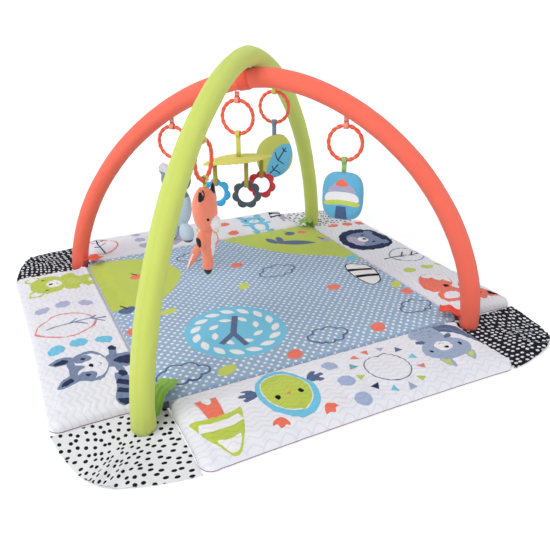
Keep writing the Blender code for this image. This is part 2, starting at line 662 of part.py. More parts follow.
def build_gym():
    clear_scene()
    parts = collection("activity_play_gym")
    cutters = collection("cutters")
    coral = Arch(CORAL_HALF_SPAN, CORAL_HEIGHT, CORAL_POWER, CORAL_LEAN, CORAL_YAW)
    lime = Arch(LIME_HALF_SPAN, LIME_HEIGHT, LIME_POWER, LIME_LEAN, LIME_YAW)
    build_mat(parts, cutters)
    build_arch("coral", coral, "coral", parts, cutters)
    build_arch("lime", lime, "lime", parts, cutters)
    build_foot_tab("tab_back_left", coral, True, "coral", parts, cutters)
    build_foot_tab("tab_front_right", coral, False, "coral", parts, cutters)
    build_foot_tab("tab_front_left", lime, True, "lime", parts, cutters)
    build_foot_tab("tab_back_right", lime, False, "lime", parts, cutters)
    middle = coral.length / 2 - 0.027
    band = tube_mesh("band", coral.stretch(middle - 0.012, middle + 0.012), SLEEVE_RADIUS + 0.0016, 12)
    strap = mesh_object("crossing_strap", band, "coral", parts)
    reach = coral.stretch(middle - 0.06, middle + 0.06)
    cut(strap, tube_mesh("strap_bore", reach, SLEEVE_RADIUS + NEAR, 12), cutters)
    smooth(strap, 60.0)
    build_toys(coral, lime, parts, cutters)


build_gym()
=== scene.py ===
import math

import bmesh
import bpy
import numpy as np
from mathutils import Matrix, Vector, noise
from mathutils.geometry import delaunay_2d_cdt
from mathutils.kdtree import KDTree


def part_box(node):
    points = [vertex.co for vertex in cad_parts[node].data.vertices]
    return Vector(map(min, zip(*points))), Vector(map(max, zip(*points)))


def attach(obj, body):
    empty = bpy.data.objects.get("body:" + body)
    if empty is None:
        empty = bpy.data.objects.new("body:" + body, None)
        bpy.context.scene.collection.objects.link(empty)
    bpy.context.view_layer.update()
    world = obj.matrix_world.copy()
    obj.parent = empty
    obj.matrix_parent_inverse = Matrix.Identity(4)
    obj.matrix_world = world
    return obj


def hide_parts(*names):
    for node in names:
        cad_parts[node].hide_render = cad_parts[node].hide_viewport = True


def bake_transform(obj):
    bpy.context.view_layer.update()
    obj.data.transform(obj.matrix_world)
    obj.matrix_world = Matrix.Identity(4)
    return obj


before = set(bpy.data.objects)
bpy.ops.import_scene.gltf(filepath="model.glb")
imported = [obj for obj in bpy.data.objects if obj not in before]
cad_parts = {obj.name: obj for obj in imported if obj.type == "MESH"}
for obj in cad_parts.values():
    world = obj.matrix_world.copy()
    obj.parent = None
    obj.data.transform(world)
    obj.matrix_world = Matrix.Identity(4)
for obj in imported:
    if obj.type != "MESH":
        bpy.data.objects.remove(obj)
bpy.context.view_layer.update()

# ---- dimensions of the gym, in metres ------------------------------------------------------------
CENTRE_HALF = 0.2985
PAD_TOP = 0.024
WALL_INNER = 0.3035
WALL_OUTER = 0.460
WALL_HALF = 0.286
GUSSET_INNER = 0.2865
SLEEVE = 0.0185
# Each arch: half span, height, roundness power, turn about Z, sideways lean at the crown.
CORAL_ARCH = (0.4434, 0.4520, 1.770, math.radians(-45.0), 0.0290)
LIME_ARCH = (0.4700, 0.4890, 1.712, math.radians(45.0), -0.0205)
LINK_RADIUS = 0.0316
LINK_WIRE = 0.0039
ROUND_SIDES = 48
PAD_UNDER = 0.0030
PAD_CREST = 0.0022
SEAM_GROOVE = 0.0150
SEAM_RIM = 0.013
SWELL_CAP = 0.008
SWELL_STEPS = 20
CHEVRON_PITCH = 0.0115
CHEVRON_RUN = 0.026
CHEVRON_SWING = 0.0080
QUILT_DEPTH = 0.0021
TAPE_WIDTH = 0.0088
TAPE_THICK = 0.00125
TEETHER_DEPTH = 0.0295
FLOOR_HALF = 60.0
FLOOR_RIM = 3.0
SPOT_EDGE = 0.0004

# ---- colours, as sRGB 0..255 ---------------------------------------------------------------------
INK = {
    "white": (244, 244, 253),
    "lilac": (182, 186, 222),
    "periwinkle": (168, 186, 222),
    "coral": (250, 118, 92),
    "rose": (236, 132, 122),
    "navy": (72, 98, 142),
    "deep": (42, 56, 92),
    "black": (20, 22, 34),
    "sky": (112, 204, 238),
    "lime": (196, 214, 74),
    "leaf": (206, 220, 92),
    "slate": (118, 136, 172),
    "mist": (160, 178, 208),
    "mauve": (186, 176, 206),
    "teal": (110, 176, 186),
    "steel": (92, 108, 130),
    "paper": (250, 248, 250),
}


def linear(rgb):
    return tuple(((c / 255.0 + 0.055) / 1.055) ** 2.4 if c > 10 else c / 255.0 / 12.92 for c in rgb) + (1.0,)


# ---- materials -----------------------------------------------------------------------------------
class Nodes:
    """A small helper that adds nodes to one material and links them by name."""

    def __init__(self, name, rough, sheen=0.0, specular=0.35, coat=0.0):
        self.material = bpy.data.materials.new(name)
        self.material.use_nodes = True
        self.tree = self.material.node_tree
        self.shader = self.tree.nodes["Principled BSDF"]
        self.shader.inputs["Roughness"].default_value = rough
        self.shader.inputs["Specular IOR Level"].default_value = specular
        self.shader.inputs["Sheen Weight"].default_value = sheen
        self.shader.inputs["Sheen Roughness"].default_value = 0.5
        self.shader.inputs["Coat Weight"].default_value = coat
        self.shader.inputs["Coat Roughness"].default_value = 0.25

    def add(self, kind, values=(), **settings):
        node = self.tree.nodes.new("ShaderNode" + kind)
        for key, value in settings.items():
            setattr(node, key, value)
        for key, value in dict(values).items():
            if isinstance(value, bpy.types.NodeSocket):
                self.tree.links.new(value, node.inputs[key])
            else:
                node.inputs[key].default_value = value
        return node

    def place(self, flat):
        source = self.add("TexCoord")
        return source.outputs["UV"] if flat else source.outputs["Object"]

    def math(self, operation, a, b=0.0, clamp=False):
        return self.add("Math", {0: a, 1: b}, operation=operation, use_clamp=clamp).outputs[0]

    def mix(self, factor, a, b):
        node = self.add("Mix", data_type="RGBA")
        for index, value in ((0, factor), (6, a), (7, b)):
            if isinstance(value, bpy.types.NodeSocket):
                self.tree.links.new(value, node.inputs[index])
            else:
                node.inputs[index].default_value = value
        return node.outputs[2]

    def weave(self, place, pitch, height, extra=None, strength=0.5):
        """Crossed threads with a soft long-wave unevenness, as bump."""
        scale = math.pi / pitch / 10.0
        warp = self.add("TexWave", {"Vector": place, "Scale": scale, "Distortion": 0.6}, bands_direction="X")
        weft = self.add("TexWave", {"Vector": place, "Scale": scale, "Distortion": 0.6}, bands_direction="Y")
        both = self.math("ADD", warp.outputs["Fac"], weft.outputs["Fac"])
        fuzz = self.add("TexNoise", {"Vector": place, "Scale": 220.0, "Detail": 4.0})
        both = self.math("ADD", both, fuzz.outputs["Fac"])
        if extra is not None:
            both = self.math("ADD", both, extra)
        bump = self.add("Bump", {"Height": both, "Strength": strength, "Distance": height})
        self.tree.links.new(bump.outputs["Normal"], self.shader.inputs["Normal"])

    def tint(self, colour, place, amount=0.05, scale=9.0):
        """Slow colour variation, so no area is one flat colour."""
        patch = self.add("TexNoise", {"Vector": place, "Scale": scale, "Detail": 5.0})
        low = tuple(c * (1.0 - amount) for c in colour[:3]) + (1.0,)
        high = tuple(min(1.0, c * (1.0 + amount)) for c in colour[:3]) + (1.0,)
        return self.mix(patch.outputs["Fac"], low, high)

    def paint(self, colour):
        self.tree.links.new(colour, self.shader.inputs["Base Color"])
        return self.material


def chevron(nodes, place):
    """Zigzag quilting lines across a wall, as a height."""
    split = nodes.add("SeparateXYZ", {0: place})
    tooth = nodes.math("PINGPONG", split.outputs[0], CHEVRON_RUN / 2)
    shift = nodes.math("MULTIPLY", tooth, 2.0 * CHEVRON_SWING / CHEVRON_RUN)
    row = nodes.math("ADD", split.outputs[1], shift)
    dip = nodes.math("PINGPONG", row, CHEVRON_PITCH / 2)
    return nodes.math("MULTIPLY", dip, 2.0 / CHEVRON_PITCH, clamp=True)


def cloth(name, rgb, pitch=0.0007, height=0.0004, rough=0.88, sheen=0.25, quilted=False, vary=0.04):
    dark = max(rgb) < 110
    nodes = Nodes(name, rough, 0.03 if dark else sheen, 0.15 if dark else 0.3)
    place = nodes.place(True)
    extra = None
    colour = nodes.tint(linear(rgb), place, vary)
    if quilted:
        ridge = chevron(nodes, place)
        extra = nodes.math("MULTIPLY", ridge, 2.6)
        # Painted shade: along the zigzag stitch lines the colour is mixed towards a darker lavender grey, standing in
        # for the shadow in the quilting grooves.
        clear = nodes.math("MULTIPLY", ridge, 3.2, clamp=True)
        groove_shade = nodes.math("MULTIPLY", nodes.math("SUBTRACT", 1.0, clear), 0.34)
        shade = tuple(0.62 * c for c in linear(rgb)[:2]) + (0.74 * linear(rgb)[2], 1.0)
        colour = nodes.mix(groove_shade, colour, shade)
    nodes.weave(place, pitch, height, extra)
    return nodes.paint(colour)


def dotted(name, ground, dot, pitch, radius, jitter, turn=0.0):
    """Cloth printed with spots."""
    nodes = Nodes(name, 0.88, 0.03, 0.15)
    place = nodes.place(True)
    spun = nodes.add("Mapping", {"Vector": place, "Rotation": (0.0, 0.0, turn)})
    cells = nodes.add("TexVoronoi", {"Vector": spun.outputs[0], "Scale": 1.0 / pitch, "Randomness": jitter},
                      voronoi_dimensions="2D")
    far = nodes.math("MULTIPLY", cells.outputs["Distance"], pitch)
    spot = nodes.math("MULTIPLY", nodes.math("SUBTRACT", radius, far), 1.0 / SPOT_EDGE, clamp=True)
    nodes.weave(place, 0.0007, 0.0004)
    base = nodes.tint(linear(ground), place)
    return nodes.paint(nodes.mix(spot, base, linear(dot)))


def plastic(name, rgb, rough, coat):
    """Moulded plastic with a faint grain and uneven gloss."""
    nodes = Nodes(name, rough, 0.0, 0.5, coat)
    place = nodes.place(False)
    cloud = nodes.add("TexNoise", {"Vector": place, "Scale": 60.0, "Detail": 6.0})
    grit = nodes.add("TexNoise", {"Vector": place, "Scale": 900.0, "Detail": 2.0})
    both = nodes.math("ADD", cloud.outputs["Fac"], grit.outputs["Fac"])
    bump = nodes.add("Bump", {"Height": both, "Strength": 0.35, "Distance": 0.0003})
    nodes.tree.links.new(bump.outputs["Normal"], nodes.shader.inputs["Normal"])
    wear = nodes.math("MULTIPLY_ADD", cloud.outputs["Fac"], 0.12)
    wear.node.inputs[2].default_value = rough - 0.06
    nodes.tree.links.new(wear, nodes.shader.inputs["Roughness"])
    return nodes.paint(nodes.tint(linear(rgb), place, 0.04, 40.0))


def plush(name, rgb, vary=0.09):
    """Short-pile velour."""
    nodes = Nodes(name, 0.95, 0.45, 0.2)
    place = nodes.place(False)
    pile = nodes.add("TexNoise", {"Vector": place, "Scale": 700.0, "Detail": 6.0, "Roughness": 0.7})
    nap = nodes.add("TexNoise", {"Vector": place, "Scale": 60.0, "Detail": 3.0})
    both = nodes.math("ADD", pile.outputs["Fac"], nap.outputs["Fac"])
    bump = nodes.add("Bump", {"Height": both, "Strength": 0.6, "Distance": 0.0010})
    nodes.tree.links.new(bump.outputs["Normal"], nodes.shader.inputs["Normal"])
    return nodes.paint(nodes.tint(linear(rgb), place, vary, 45.0))


WALL_INK = {key: cloth("wall_" + key, rgb, quilted=True) for key, rgb in INK.items()}
MID_INK = {key: cloth("mid_" + key, rgb) for key, rgb in INK.items()}
MID_GROUND = dotted("mid_ground", (160, 187, 216), (243, 247, 252), 0.0118, 0.0031, 0.18, math.radians(45))
GUSSET_WHITE = dotted("gusset_white_spots", (240, 240, 244), (16, 16, 26), 0.0138, 0.0037, 0.5, 0.4)
GUSSET_BLACK = dotted("gusset_black_spots", (17, 18, 30), (240, 240, 246), 0.0118, 0.0034, 0.4, 0.7)
SEAM_INK = cloth("seam_cloth", (205, 208, 224))
PIPING = cloth("piping", (150, 92, 110))
UNDER = cloth("under_cloth", (222, 222, 232))


# ---- flat shapes for the prints ------------------------------------------------------------------
def oval(x, y, rx, ry=None, turn=0.0, count=30):
    ry = ry or rx
    c, s = math.cos(turn), math.sin(turn)
    ring = [(rx * math.cos(math.tau * i / count), ry * math.sin(math.tau * i / count)) for i in range(count)]
    return [(x + a * c - b * s, y + a * s + b * c) for a, b in ring]


def placed(points, x, y, turn=0.0, scale=1.0):
    c, s = math.cos(turn) * scale, math.sin(turn) * scale
    return [(x + a * c - b * s, y + a * s + b * c) for a, b in points]


def flow(points, per=6):
    """A smooth closed curve through the points."""
    out = []
    n = len(points)
    for i in range(n):
        p0, p1, p2, p3 = (Vector(points[(i + k - 1) % n]) for k in range(4))
        for j in range(per):
            t = j / per
            spot = 0.5 * (2 * p1 + (p2 - p0) * t + (2 * p0 - 5 * p1 + 4 * p2 - p3) * t * t
                          + (3 * p1 - p0 - 3 * p2 + p3) * t ** 3)
            out.append((spot.x, spot.y))
    return out


def bar(points, width):
    """A line of even width with squared ends."""
    left, right = [], []
    for i, point in enumerate(points):
        here = Vector(point)
        before = Vector(points[max(i - 1, 0)])
        after = Vector(points[min(i + 1, len(points) - 1)])
        way = (after - before).normalized()
        side = Vector((-way.y, way.x)) * width / 2
        left.append(tuple(here + side))
        right.append(tuple(here - side))
    return left + right[::-1]


def shrunk(points, by):
    """The outline moved inwards by a distance."""
    area = sum(a[0] * b[1] - b[0] * a[1] for a, b in zip(points, points[1:] + points[:1]))
    sign = 1.0 if area > 0 else -1.0
    out = []
    n = len(points)
    for i in range(n):
        way = (Vector(points[(i + 1) % n]) - Vector(points[i - 1])).normalized()
        out.append((points[i][0] - sign * way.y * by, points[i][1] + sign * way.x * by))
    return out


def mirrored(half):
    """The closed outline whose right half runs from a first to a last point on the middle line."""
    return half + [(-x, y) for x, y in half[-2:0:-1]]


def both(ink, x, y, rx, ry=None, turn=0.0):
    """A pair of ovals on each side of the middle line."""
    return [(ink, oval(-x, y, rx, ry, -turn)), (ink, oval(x, y, rx, ry, turn))]


def leaf(x, y, length, width, turn, point=0.85, count=15):
    out = []
    for side in (1.0, -1.0):
        for i in range(count):
            share = i / count
            along = length * (0.5 - share) * side
            out.append((along, side * width / 2 * math.sin(math.pi * share) ** point))
    return placed(out, x, y, turn)


def twig(x, y, length, turn, ink, width=0.0036, flip=1.0):
    """A stalk with four side shoots."""
    parts = [bar([(-0.5 * length, 0.0), (0.12 * length, 0.004 * flip), (0.5 * length, 0.0)], width)]
    for at, side in ((-0.12, 1.0), (-0.02, -1.0), (0.2, 1.0), (0.28, -1.0)):
        base = (at * length, 0.002 * flip)
        tip = ((at + 0.16) * length, 0.016 * side * flip)
        parts.append(bar([base, tip], width * 0.9))
    return [(ink, placed(part, x, y, turn)) for part in parts]


def outlined(ink, inside, points, width=0.0035):
    return [(ink, points), (inside, shrunk(points, width))]


def cloud(x, y, size, turn, inside):
    """A cloud of round lobes drawn as an outline."""
    lobes = ((-0.66, -0.02, 0.36), (-0.24, 0.26, 0.38), (0.26, 0.24, 0.40), (0.68, 0.00, 0.34), (0.34, -0.26, 0.32),
             (-0.12, -0.28, 0.34), (-0.44, -0.22, 0.28))
    rings = []
    for inset in (0.0, 0.0040 / size):
        ring = []
        for i in range(96):
            angle = math.tau * i / 96
            way = Vector((math.cos(angle), math.sin(angle)))
            best = 0.05
            for lx, ly, radius in lobes:
                along = way.x * lx + way.y * ly
                off = lx * lx + ly * ly - along * along
                room = (radius - inset) ** 2 - off
                if room > 0.0:
                    best = max(best, along + math.sqrt(room))
            ring.append(tuple(way * best * size))
        rings.append(placed(ring, x, y, turn))
    return [("navy", rings[0]), (inside, rings[1])]


# ---- the animals and plants: simple designs of this gym's own -------------------------------------
def seen(items, x, y, turn, scale=1.0):
    """Places a group of flat shapes drawn about its own middle, head towards +Y."""
    return [(ink, placed(points, x, y, turn, scale)) for ink, points in items]


def bear():
    return (both("lime", 0.033, 0.029, 0.0145) + both("paper", 0.033, 0.029, 0.0100)
            + [("lime", oval(0.0, -0.040, 0.026, 0.030))] + both("lime", 0.027, -0.034, 0.010, 0.016, 0.6)
            + both("lime", 0.017, -0.068, 0.010, 0.013, -0.2)
            + [("leaf", oval(0.0, -0.044, 0.015, 0.018)), ("lime", oval(0.0, 0.004, 0.039, 0.033)),
               ("paper", oval(0.0, -0.006, 0.016, 0.014)), ("black", oval(0.0, 0.000, 0.0046, 0.0034)),
               ("black", bar([(-0.005, -0.010), (0.0, -0.0125), (0.005, -0.010)], 0.0012))]
            + both("black", 0.025, 0.010, 0.0022, 0.0040, -0.2))


def raccoon():
    ear = [(-0.008, -0.010), (-0.012, 0.018), (-0.004, 0.032), (0.010, 0.016), (0.012, -0.006)]
    inner = [(-0.005, 0.000), (-0.007, 0.016), (-0.003, 0.023), (0.005, 0.011), (0.005, 0.000)]
    head = mirrored([(0.0, 0.030), (0.024, 0.030), (0.043, 0.012), (0.049, -0.012), (0.030, -0.028), (0.0, -0.036)])
    face = mirrored([(0.0, 0.004), (0.014, 0.018), (0.032, 0.014), (0.040, -0.006), (0.030, -0.024), (0.0, -0.034)])
    body = mirrored([(0.0, -0.026), (0.020, -0.036), (0.024, -0.060), (0.018, -0.084), (0.0, -0.090)])
    mask = [(-0.009, -0.012), (-0.010, 0.010), (0.002, 0.014), (0.010, 0.006), (0.007, -0.012)]
    out = [("slate", flow(body, 5)), ("deep", oval(0.0, -0.064, 0.015, 0.020))]
    for side in (-1.0, 1.0):
        out += [
            ("slate", bar([(0.014 * side, -0.046), (0.040 * side, -0.050)], 0.013)),
            ("deep", oval(0.043 * side, -0.050, 0.008, 0.0075)),
            ("slate", bar([(0.010 * side, -0.082), (0.017 * side, -0.104)], 0.013)),
            ("deep", oval(0.018 * side, -0.107, 0.0085, 0.007)),
            ("slate", placed(flow(ear, 4), 0.031 * side, 0.028, -0.42 * side)),
            ("deep", placed(flow(inner, 4), 0.031 * side, 0.029, -0.42 * side)),
        ]
    out += [("slate", flow(head, 5)), ("white", flow(face, 5))]
    for side in (-1.0, 1.0):
        out += [("slate", placed(flow(mask, 4), 0.027 * side, 0.004, 0.30 * side, 1.05)),
                ("deep", oval(0.027 * side, 0.003, 0.0036, 0.0048, 0.3 * side))]
    out += [("black", oval(0.0, -0.006, 0.0052, 0.0038)),
            ("steel", bar([(-0.006, -0.020), (0.0, -0.0235), (0.006, -0.020)], 0.0013))]
    return out


def raccoon_tail():
    out = [("slate", flow([(-0.011, 0.004), (0.011, 0.0), (0.018, -0.024), (0.020, -0.052), (0.008, -0.070),
                           (-0.006, -0.060), (-0.006, -0.030)], 5))]
    for x, y in ((0.006, -0.018), (0.008, -0.040)):
        out.append(("deep", bar([(x - 0.013, y + 0.001), (x + 0.011, y - 0.003)], 0.011)))
    out.append(("deep", flow([(-0.004, -0.058), (0.018, -0.060), (0.008, -0.069)], 4)))
    return out


def bird():
    wing = [(0.0, -0.004), (0.010, 0.012), (0.024, 0.018), (0.030, 0.012), (0.022, 0.006), (0.036, 0.004),
            (0.038, -0.004), (0.026, -0.006), (0.033, -0.014), (0.026, -0.019), (0.012, -0.014)]
    foot = mirrored([(0.0, 0.004), (-0.010, -0.003), (-0.013, -0.011), (-0.006, -0.010), (0.0, -0.016)])
    side_wing = placed(flow(wing, 4), 0.043, 0.016, 0.10, 0.84)
    out = [("navy", side_wing), ("navy", [(-a, b) for a, b in side_wing][::-1]),
           ("coral", placed(flow(foot, 4), 0.040, -0.056, 0.3)), ("coral", placed(flow(foot, 4), -0.040, -0.056, -0.3)),
           ("sky", oval(0.0, 0.0, 0.048, 0.063, 0.0, 44)), ("paper", oval(0.0, 0.004, 0.0392, 0.0520, 0.0, 40)),
           ("lime", oval(0.0, 0.004, 0.0376, 0.0504, 0.0, 40))]
    for row in range(4):
        for i in range(-3 + (row > 1), 4 - (row > 1)):
            x = i * 0.0084 + (row % 2) * 0.0042
            y = 0.012 + row * 0.0080
            out.append(("leaf", bar([(x - 0.0038, y + 0.002), (x, y - 0.0022), (x + 0.0038, y + 0.002)], 0.0016)))
    return out + both("black", 0.0205, -0.007, 0.0046, 0.0056) + [("coral", [(-0.005, -0.003), (0.005, -0.003),
                                                                             (0.0, -0.010)])]


def striped_tree(cone, trunk):
    hill = [(-0.048, -0.002), (-0.030, 0.004), (0.0, 0.006), (0.030, 0.004), (0.048, -0.002), (0.044, 0.020),
            (0.030, 0.060), (0.012, 0.092), (0.0, 0.098), (-0.012, 0.092), (-0.030, 0.060), (-0.044, 0.020)]
    tip = [(-0.0215, 0.064), (0.0, 0.069), (0.0215, 0.064), (0.0095, 0.089), (0.0, 0.0935), (-0.0095, 0.089)]
    return [(trunk, [(-0.021, -0.054), (0.021, -0.054), (0.015, 0.010), (-0.015, 0.010)]),
            ("paper", flow([(-0.008, -0.056), (0.008, -0.056), (0.006, -0.036), (-0.006, -0.036)], 3)),
            (cone, flow(hill, 4)),
            ("paper", bar([(-0.0395, 0.022), (-0.018, 0.029), (0.018, 0.029), (0.0395, 0.022)], 0.019)),
            ("paper", flow(tip, 4))]


def sun(x, y):
    radius = 0.039
    out = outlined("steel", "white", flow(placed([(1.02, 0.0), (0.72, 0.74), (0.0, 1.0), (-0.74, 0.70),
                                                   (-1.0, 0.0), (-0.72, -0.70), (0.0, -1.06), (0.76, -0.72)],
                                                  x, y, 0.2, radius), 6), 0.0022)
    inks = ["coral", "teal", "lime", "deep", "sky", "mist", "lime", "rose", "sky", "navy", "mist", "coral"]
    for i, ink in enumerate(inks):
        turn = math.tau * i / 12 + 2.2
        spot = (x + (radius + 0.017) * math.cos(turn), y + (radius + 0.017) * math.sin(turn))
        out.append((ink, placed([(-0.007, -0.0075), (0.008, 0.0), (-0.007, 0.0075)], spot[0], spot[1], turn + 3.1)))
    return out


def squirrel():
    body = [(0.0, 0.0), (0.026, 0.018), (0.030, 0.046), (0.016, 0.060), (-0.020, 0.058), (-0.034, 0.040),
            (-0.026, 0.014)]
    tail = [(0.024, 0.066), (0.052, 0.062), (0.078, 0.030), (0.084, -0.010), (0.074, -0.034), (0.062, -0.012),
            (0.048, 0.018), (0.022, 0.044), (-0.010, 0.056)]
    head = mirrored([(0.0, 0.012), (0.030, 0.008), (0.048, -0.016), (0.036, -0.040), (0.0, -0.050)])
    ear = [(-0.009, 0.0), (-0.005, -0.018), (0.001, -0.026), (0.008, -0.014), (0.009, 0.002)]
    out = [("navy", flow(tail, 5)), ("slate", bar([(0.014, 0.058), (0.046, 0.046), (0.066, 0.016)], 0.002)),
           ("mist", flow(body, 5))]
    for row in range(3):
        for i in range(3):
            x = -0.014 + i * 0.014 + (row % 2) * 0.006
            y = 0.022 + row * 0.012
            out.append(("slate", bar([(x - 0.005, y), (x, y + 0.004), (x + 0.005, y)], 0.0014)))
    for side in (-1.0, 1.0):
        out += [("mist", placed(flow(ear, 4), 0.027 * side, -0.040, -0.3 * side, 1.1)),
                ("leaf", placed(flow(ear, 4), 0.027 * side, -0.042, -0.3 * side, 0.72)),
                ("navy", oval(0.030 * side, 0.014, 0.010, 0.006, 0.5 * side))]
    out += [("mist", flow(head, 5)), ("paper", oval(0.0, -0.010, 0.017, 0.014)),
            ("black", oval(0.002, -0.016, 0.0046, 0.0036)),
            ("black", bar([(-0.006, -0.004), (0.0, -0.001), (0.006, -0.004)], 0.0012))]
    return out + both("black", 0.032, -0.016, 0.0034, 0.0044)


def lion():
    mane = []
    for i in range(72):
        turn = math.tau * i / 72
        reach = 1.0 + 0.055 * abs(math.cos(turn * 8.0))
        mane.append((0.060 * reach * math.cos(turn), 0.055 * reach * math.sin(turn)))
    head = mirrored([(0.0, 0.032), (0.030, 0.026), (0.040, 0.0), (0.030, -0.030), (0.0, -0.038)])
    chin = mirrored([(0.0, -0.010), (0.026, -0.018), (0.022, -0.034), (0.0, -0.038)])
    return ([("deep", mane)] + both("slate", 0.031, 0.028, 0.011)
            + [("slate", flow(head, 5)), ("mauve", flow(chin, 4)), ("paper", oval(0.0, -0.006, 0.014, 0.011)),
               ("black", oval(0.0, -0.002, 0.0050, 0.0036))] + both("black", 0.022, 0.008, 0.0030, 0.0044))


def fox():
    tail = [(0.0, -0.016), (0.018, -0.008), (0.030, 0.016), (0.026, 0.040), (0.004, 0.050), (-0.018, 0.040),
            (-0.024, 0.014), (-0.016, -0.006)]
    tip = [(0.030, 0.020), (0.026, 0.042), (0.004, 0.051), (-0.018, 0.041), (-0.010, 0.032), (0.0, 0.036),
           (0.010, 0.026), (0.018, 0.030)]
    body = mirrored([(0.0, 0.012), (0.022, 0.004), (0.027, -0.022), (0.020, -0.046), (0.0, -0.052)])
    head = mirrored([(0.0, 0.052), (0.020, 0.050), (0.040, 0.030), (0.024, 0.014), (0.0, 0.008)])
    ear = [(-0.010, -0.004), (-0.006, 0.016), (0.002, 0.026), (0.010, 0.012), (0.011, -0.006)]
    out = [("coral", placed(flow(tail, 5), -0.046, -0.032, 1.0, 1.32)),
           ("paper", placed(flow(tip, 4), -0.046, -0.032, 1.0, 1.28)),
           ("coral", flow(body, 5)), ("white", oval(0.0, -0.024, 0.015, 0.019))]
    for side in (-1.0, 1.0):
        out += [("coral", bar([(0.014 * side, 0.0), (0.036 * side, -0.006)], 0.011)),
                ("black", oval(0.039 * side, -0.007, 0.007, 0.0055)),
                ("coral", placed(flow(ear, 4), 0.024 * side, 0.050, -0.3 * side, 1.15)),
                ("black", placed(flow(ear, 4), 0.025 * side, 0.053, -0.3 * side, 0.72))]
    out += [("coral", flow(head, 5)), ("paper", oval(0.0, 0.020, 0.013, 0.009)),
            ("black", oval(0.0, 0.023, 0.0044, 0.0034))]
    return out + both("black", 0.017, 0.034, 0.0028, 0.0040)


def rabbit():
    ear = [(-0.007, 0.0), (-0.009, 0.020), (-0.002, 0.034), (0.007, 0.022), (0.007, 0.0)]
    out = [("sky", oval(0.0, -0.036, 0.023, 0.028)), ("paper", oval(0.0, -0.040, 0.013, 0.017))]
    for side in (-1.0, 1.0):
        out += [("sky", bar([(0.016 * side, -0.026), (0.036 * side, -0.018)], 0.010)),
                ("sky", oval(0.017 * side, -0.062, 0.010, 0.008)),
                ("sky", placed(flow(ear, 4), 0.017 * side, 0.018, -0.35 * side)),
                ("mist", placed(flow(ear, 4), 0.017 * side, 0.021, -0.35 * side, 0.6))]
    out += [("sky", oval(0.0, 0.004, 0.031, 0.024)), ("paper", oval(0.0, -0.003, 0.013, 0.010)),
            ("black", oval(0.0, 0.000, 0.0036, 0.0028))]
    return out + both("black", 0.017, 0.009, 0.0026, 0.0034)


def fruit(ink, x, y, turn, size=0.015):
    return [(ink, oval(x, y, size, size * 0.8, turn)),
            ("black", bar([(x + 0.2 * size * math.cos(turn), y + 0.5 * size),
                           (x - 0.5 * size, y + 1.5 * size)], 0.0036))]


def wall_prints(side):
    if side == "left":
        turn = math.pi / 2
        out = seen(bear(), -0.392, 0.202, turn, 1.14)
        for x, y in ((-0.423, 0.085), (-0.383, 0.093), (-0.340, 0.084)):
            out.append(("lilac", oval(x, y, 0.0145)))
        out += outlined("rose", "white", leaf(-0.390, 0.004, 0.116, 0.098, 0.06, 0.62), 0.0038)
        out += twig(-0.370, 0.006, 0.112, 0.10, "slate", 0.0042)
        for x, y in ((-0.419, -0.082), (-0.379, -0.073), (-0.336, -0.077)):
            out.append(("sky", oval(x, y, 0.0160, 0.0145)))
        out += seen(raccoon_tail(), -0.333, -0.205, -0.28, 1.08)
        out += seen(raccoon(), -0.380, -0.158, turn, 0.98)
        return out
    if side == "front":
        out = seen(striped_tree("lime", "coral"), -0.234, -0.374, math.pi, 0.84)
        out += seen(bird(), -0.113, -0.370, 0.0, 1.0)
        for x, y in ((-0.015, -0.335), (-0.014, -0.386), (-0.014, -0.434)):
            out.append(("periwinkle", oval(x, y, 0.0145, 0.0140)))
        out += sun(0.070, -0.381)
        out += seen(squirrel(), 0.198, -0.362, 0.0, 1.0)
        return out
    if side == "right":
        out = []
        for x, y in ((0.354, 0.253), (0.394, 0.245), (0.431, 0.238)):
            out.append(("coral", oval(x, y, 0.0150, 0.0135)))
        out += seen(lion(), 0.374, 0.128, -math.pi / 2, 1.16)
        out += outlined("teal", "white", leaf(0.405, -0.003, 0.096, 0.084, -0.05, 0.62), 0.0036)
        out += twig(0.391, -0.001, 0.100, 0.0, "deep", 0.0038, -1.0)
        for x, y in ((0.354, -0.081), (0.403, -0.082), (0.443, -0.080)):
            out.append(("leaf", oval(x, y, 0.0150, 0.0130)))
        out += seen(fox(), 0.378, -0.222, -math.pi / 2, 1.0)
        return out
    out = outlined("rose", "white", leaf(-0.249, 0.384, 0.110, 0.088, 1.6, 0.62), 0.0040)
    out += twig(-0.249, 0.384, 0.100, 1.6, "deep", 0.0036)
    for i in range(3):
        out.append(("lilac", oval(-0.150, 0.340 + 0.042 * i, 0.0135)))
    out += [("mauve", oval(-0.072, 0.362, 0.036, 0.042))]
    out += [("slate", bar([(-0.097, 0.342 + 0.020 * i), (-0.047, 0.342 + 0.020 * i)], 0.004)) for i in range(3)]
    out += outlined("leaf", "white", oval(0.032, 0.372, 0.030, 0.034), 0.0040)
    out += [("coral", oval(0.088, 0.392, 0.015, 0.014)), ("coral", oval(0.088, 0.328, 0.015, 0.014))]
    out += seen(rabbit(), 0.172, 0.382, -0.05, 1.15)
    out += seen(striped_tree("deep", "mauve"), 0.262, 0.385, 0.0, 0.72)
    return out


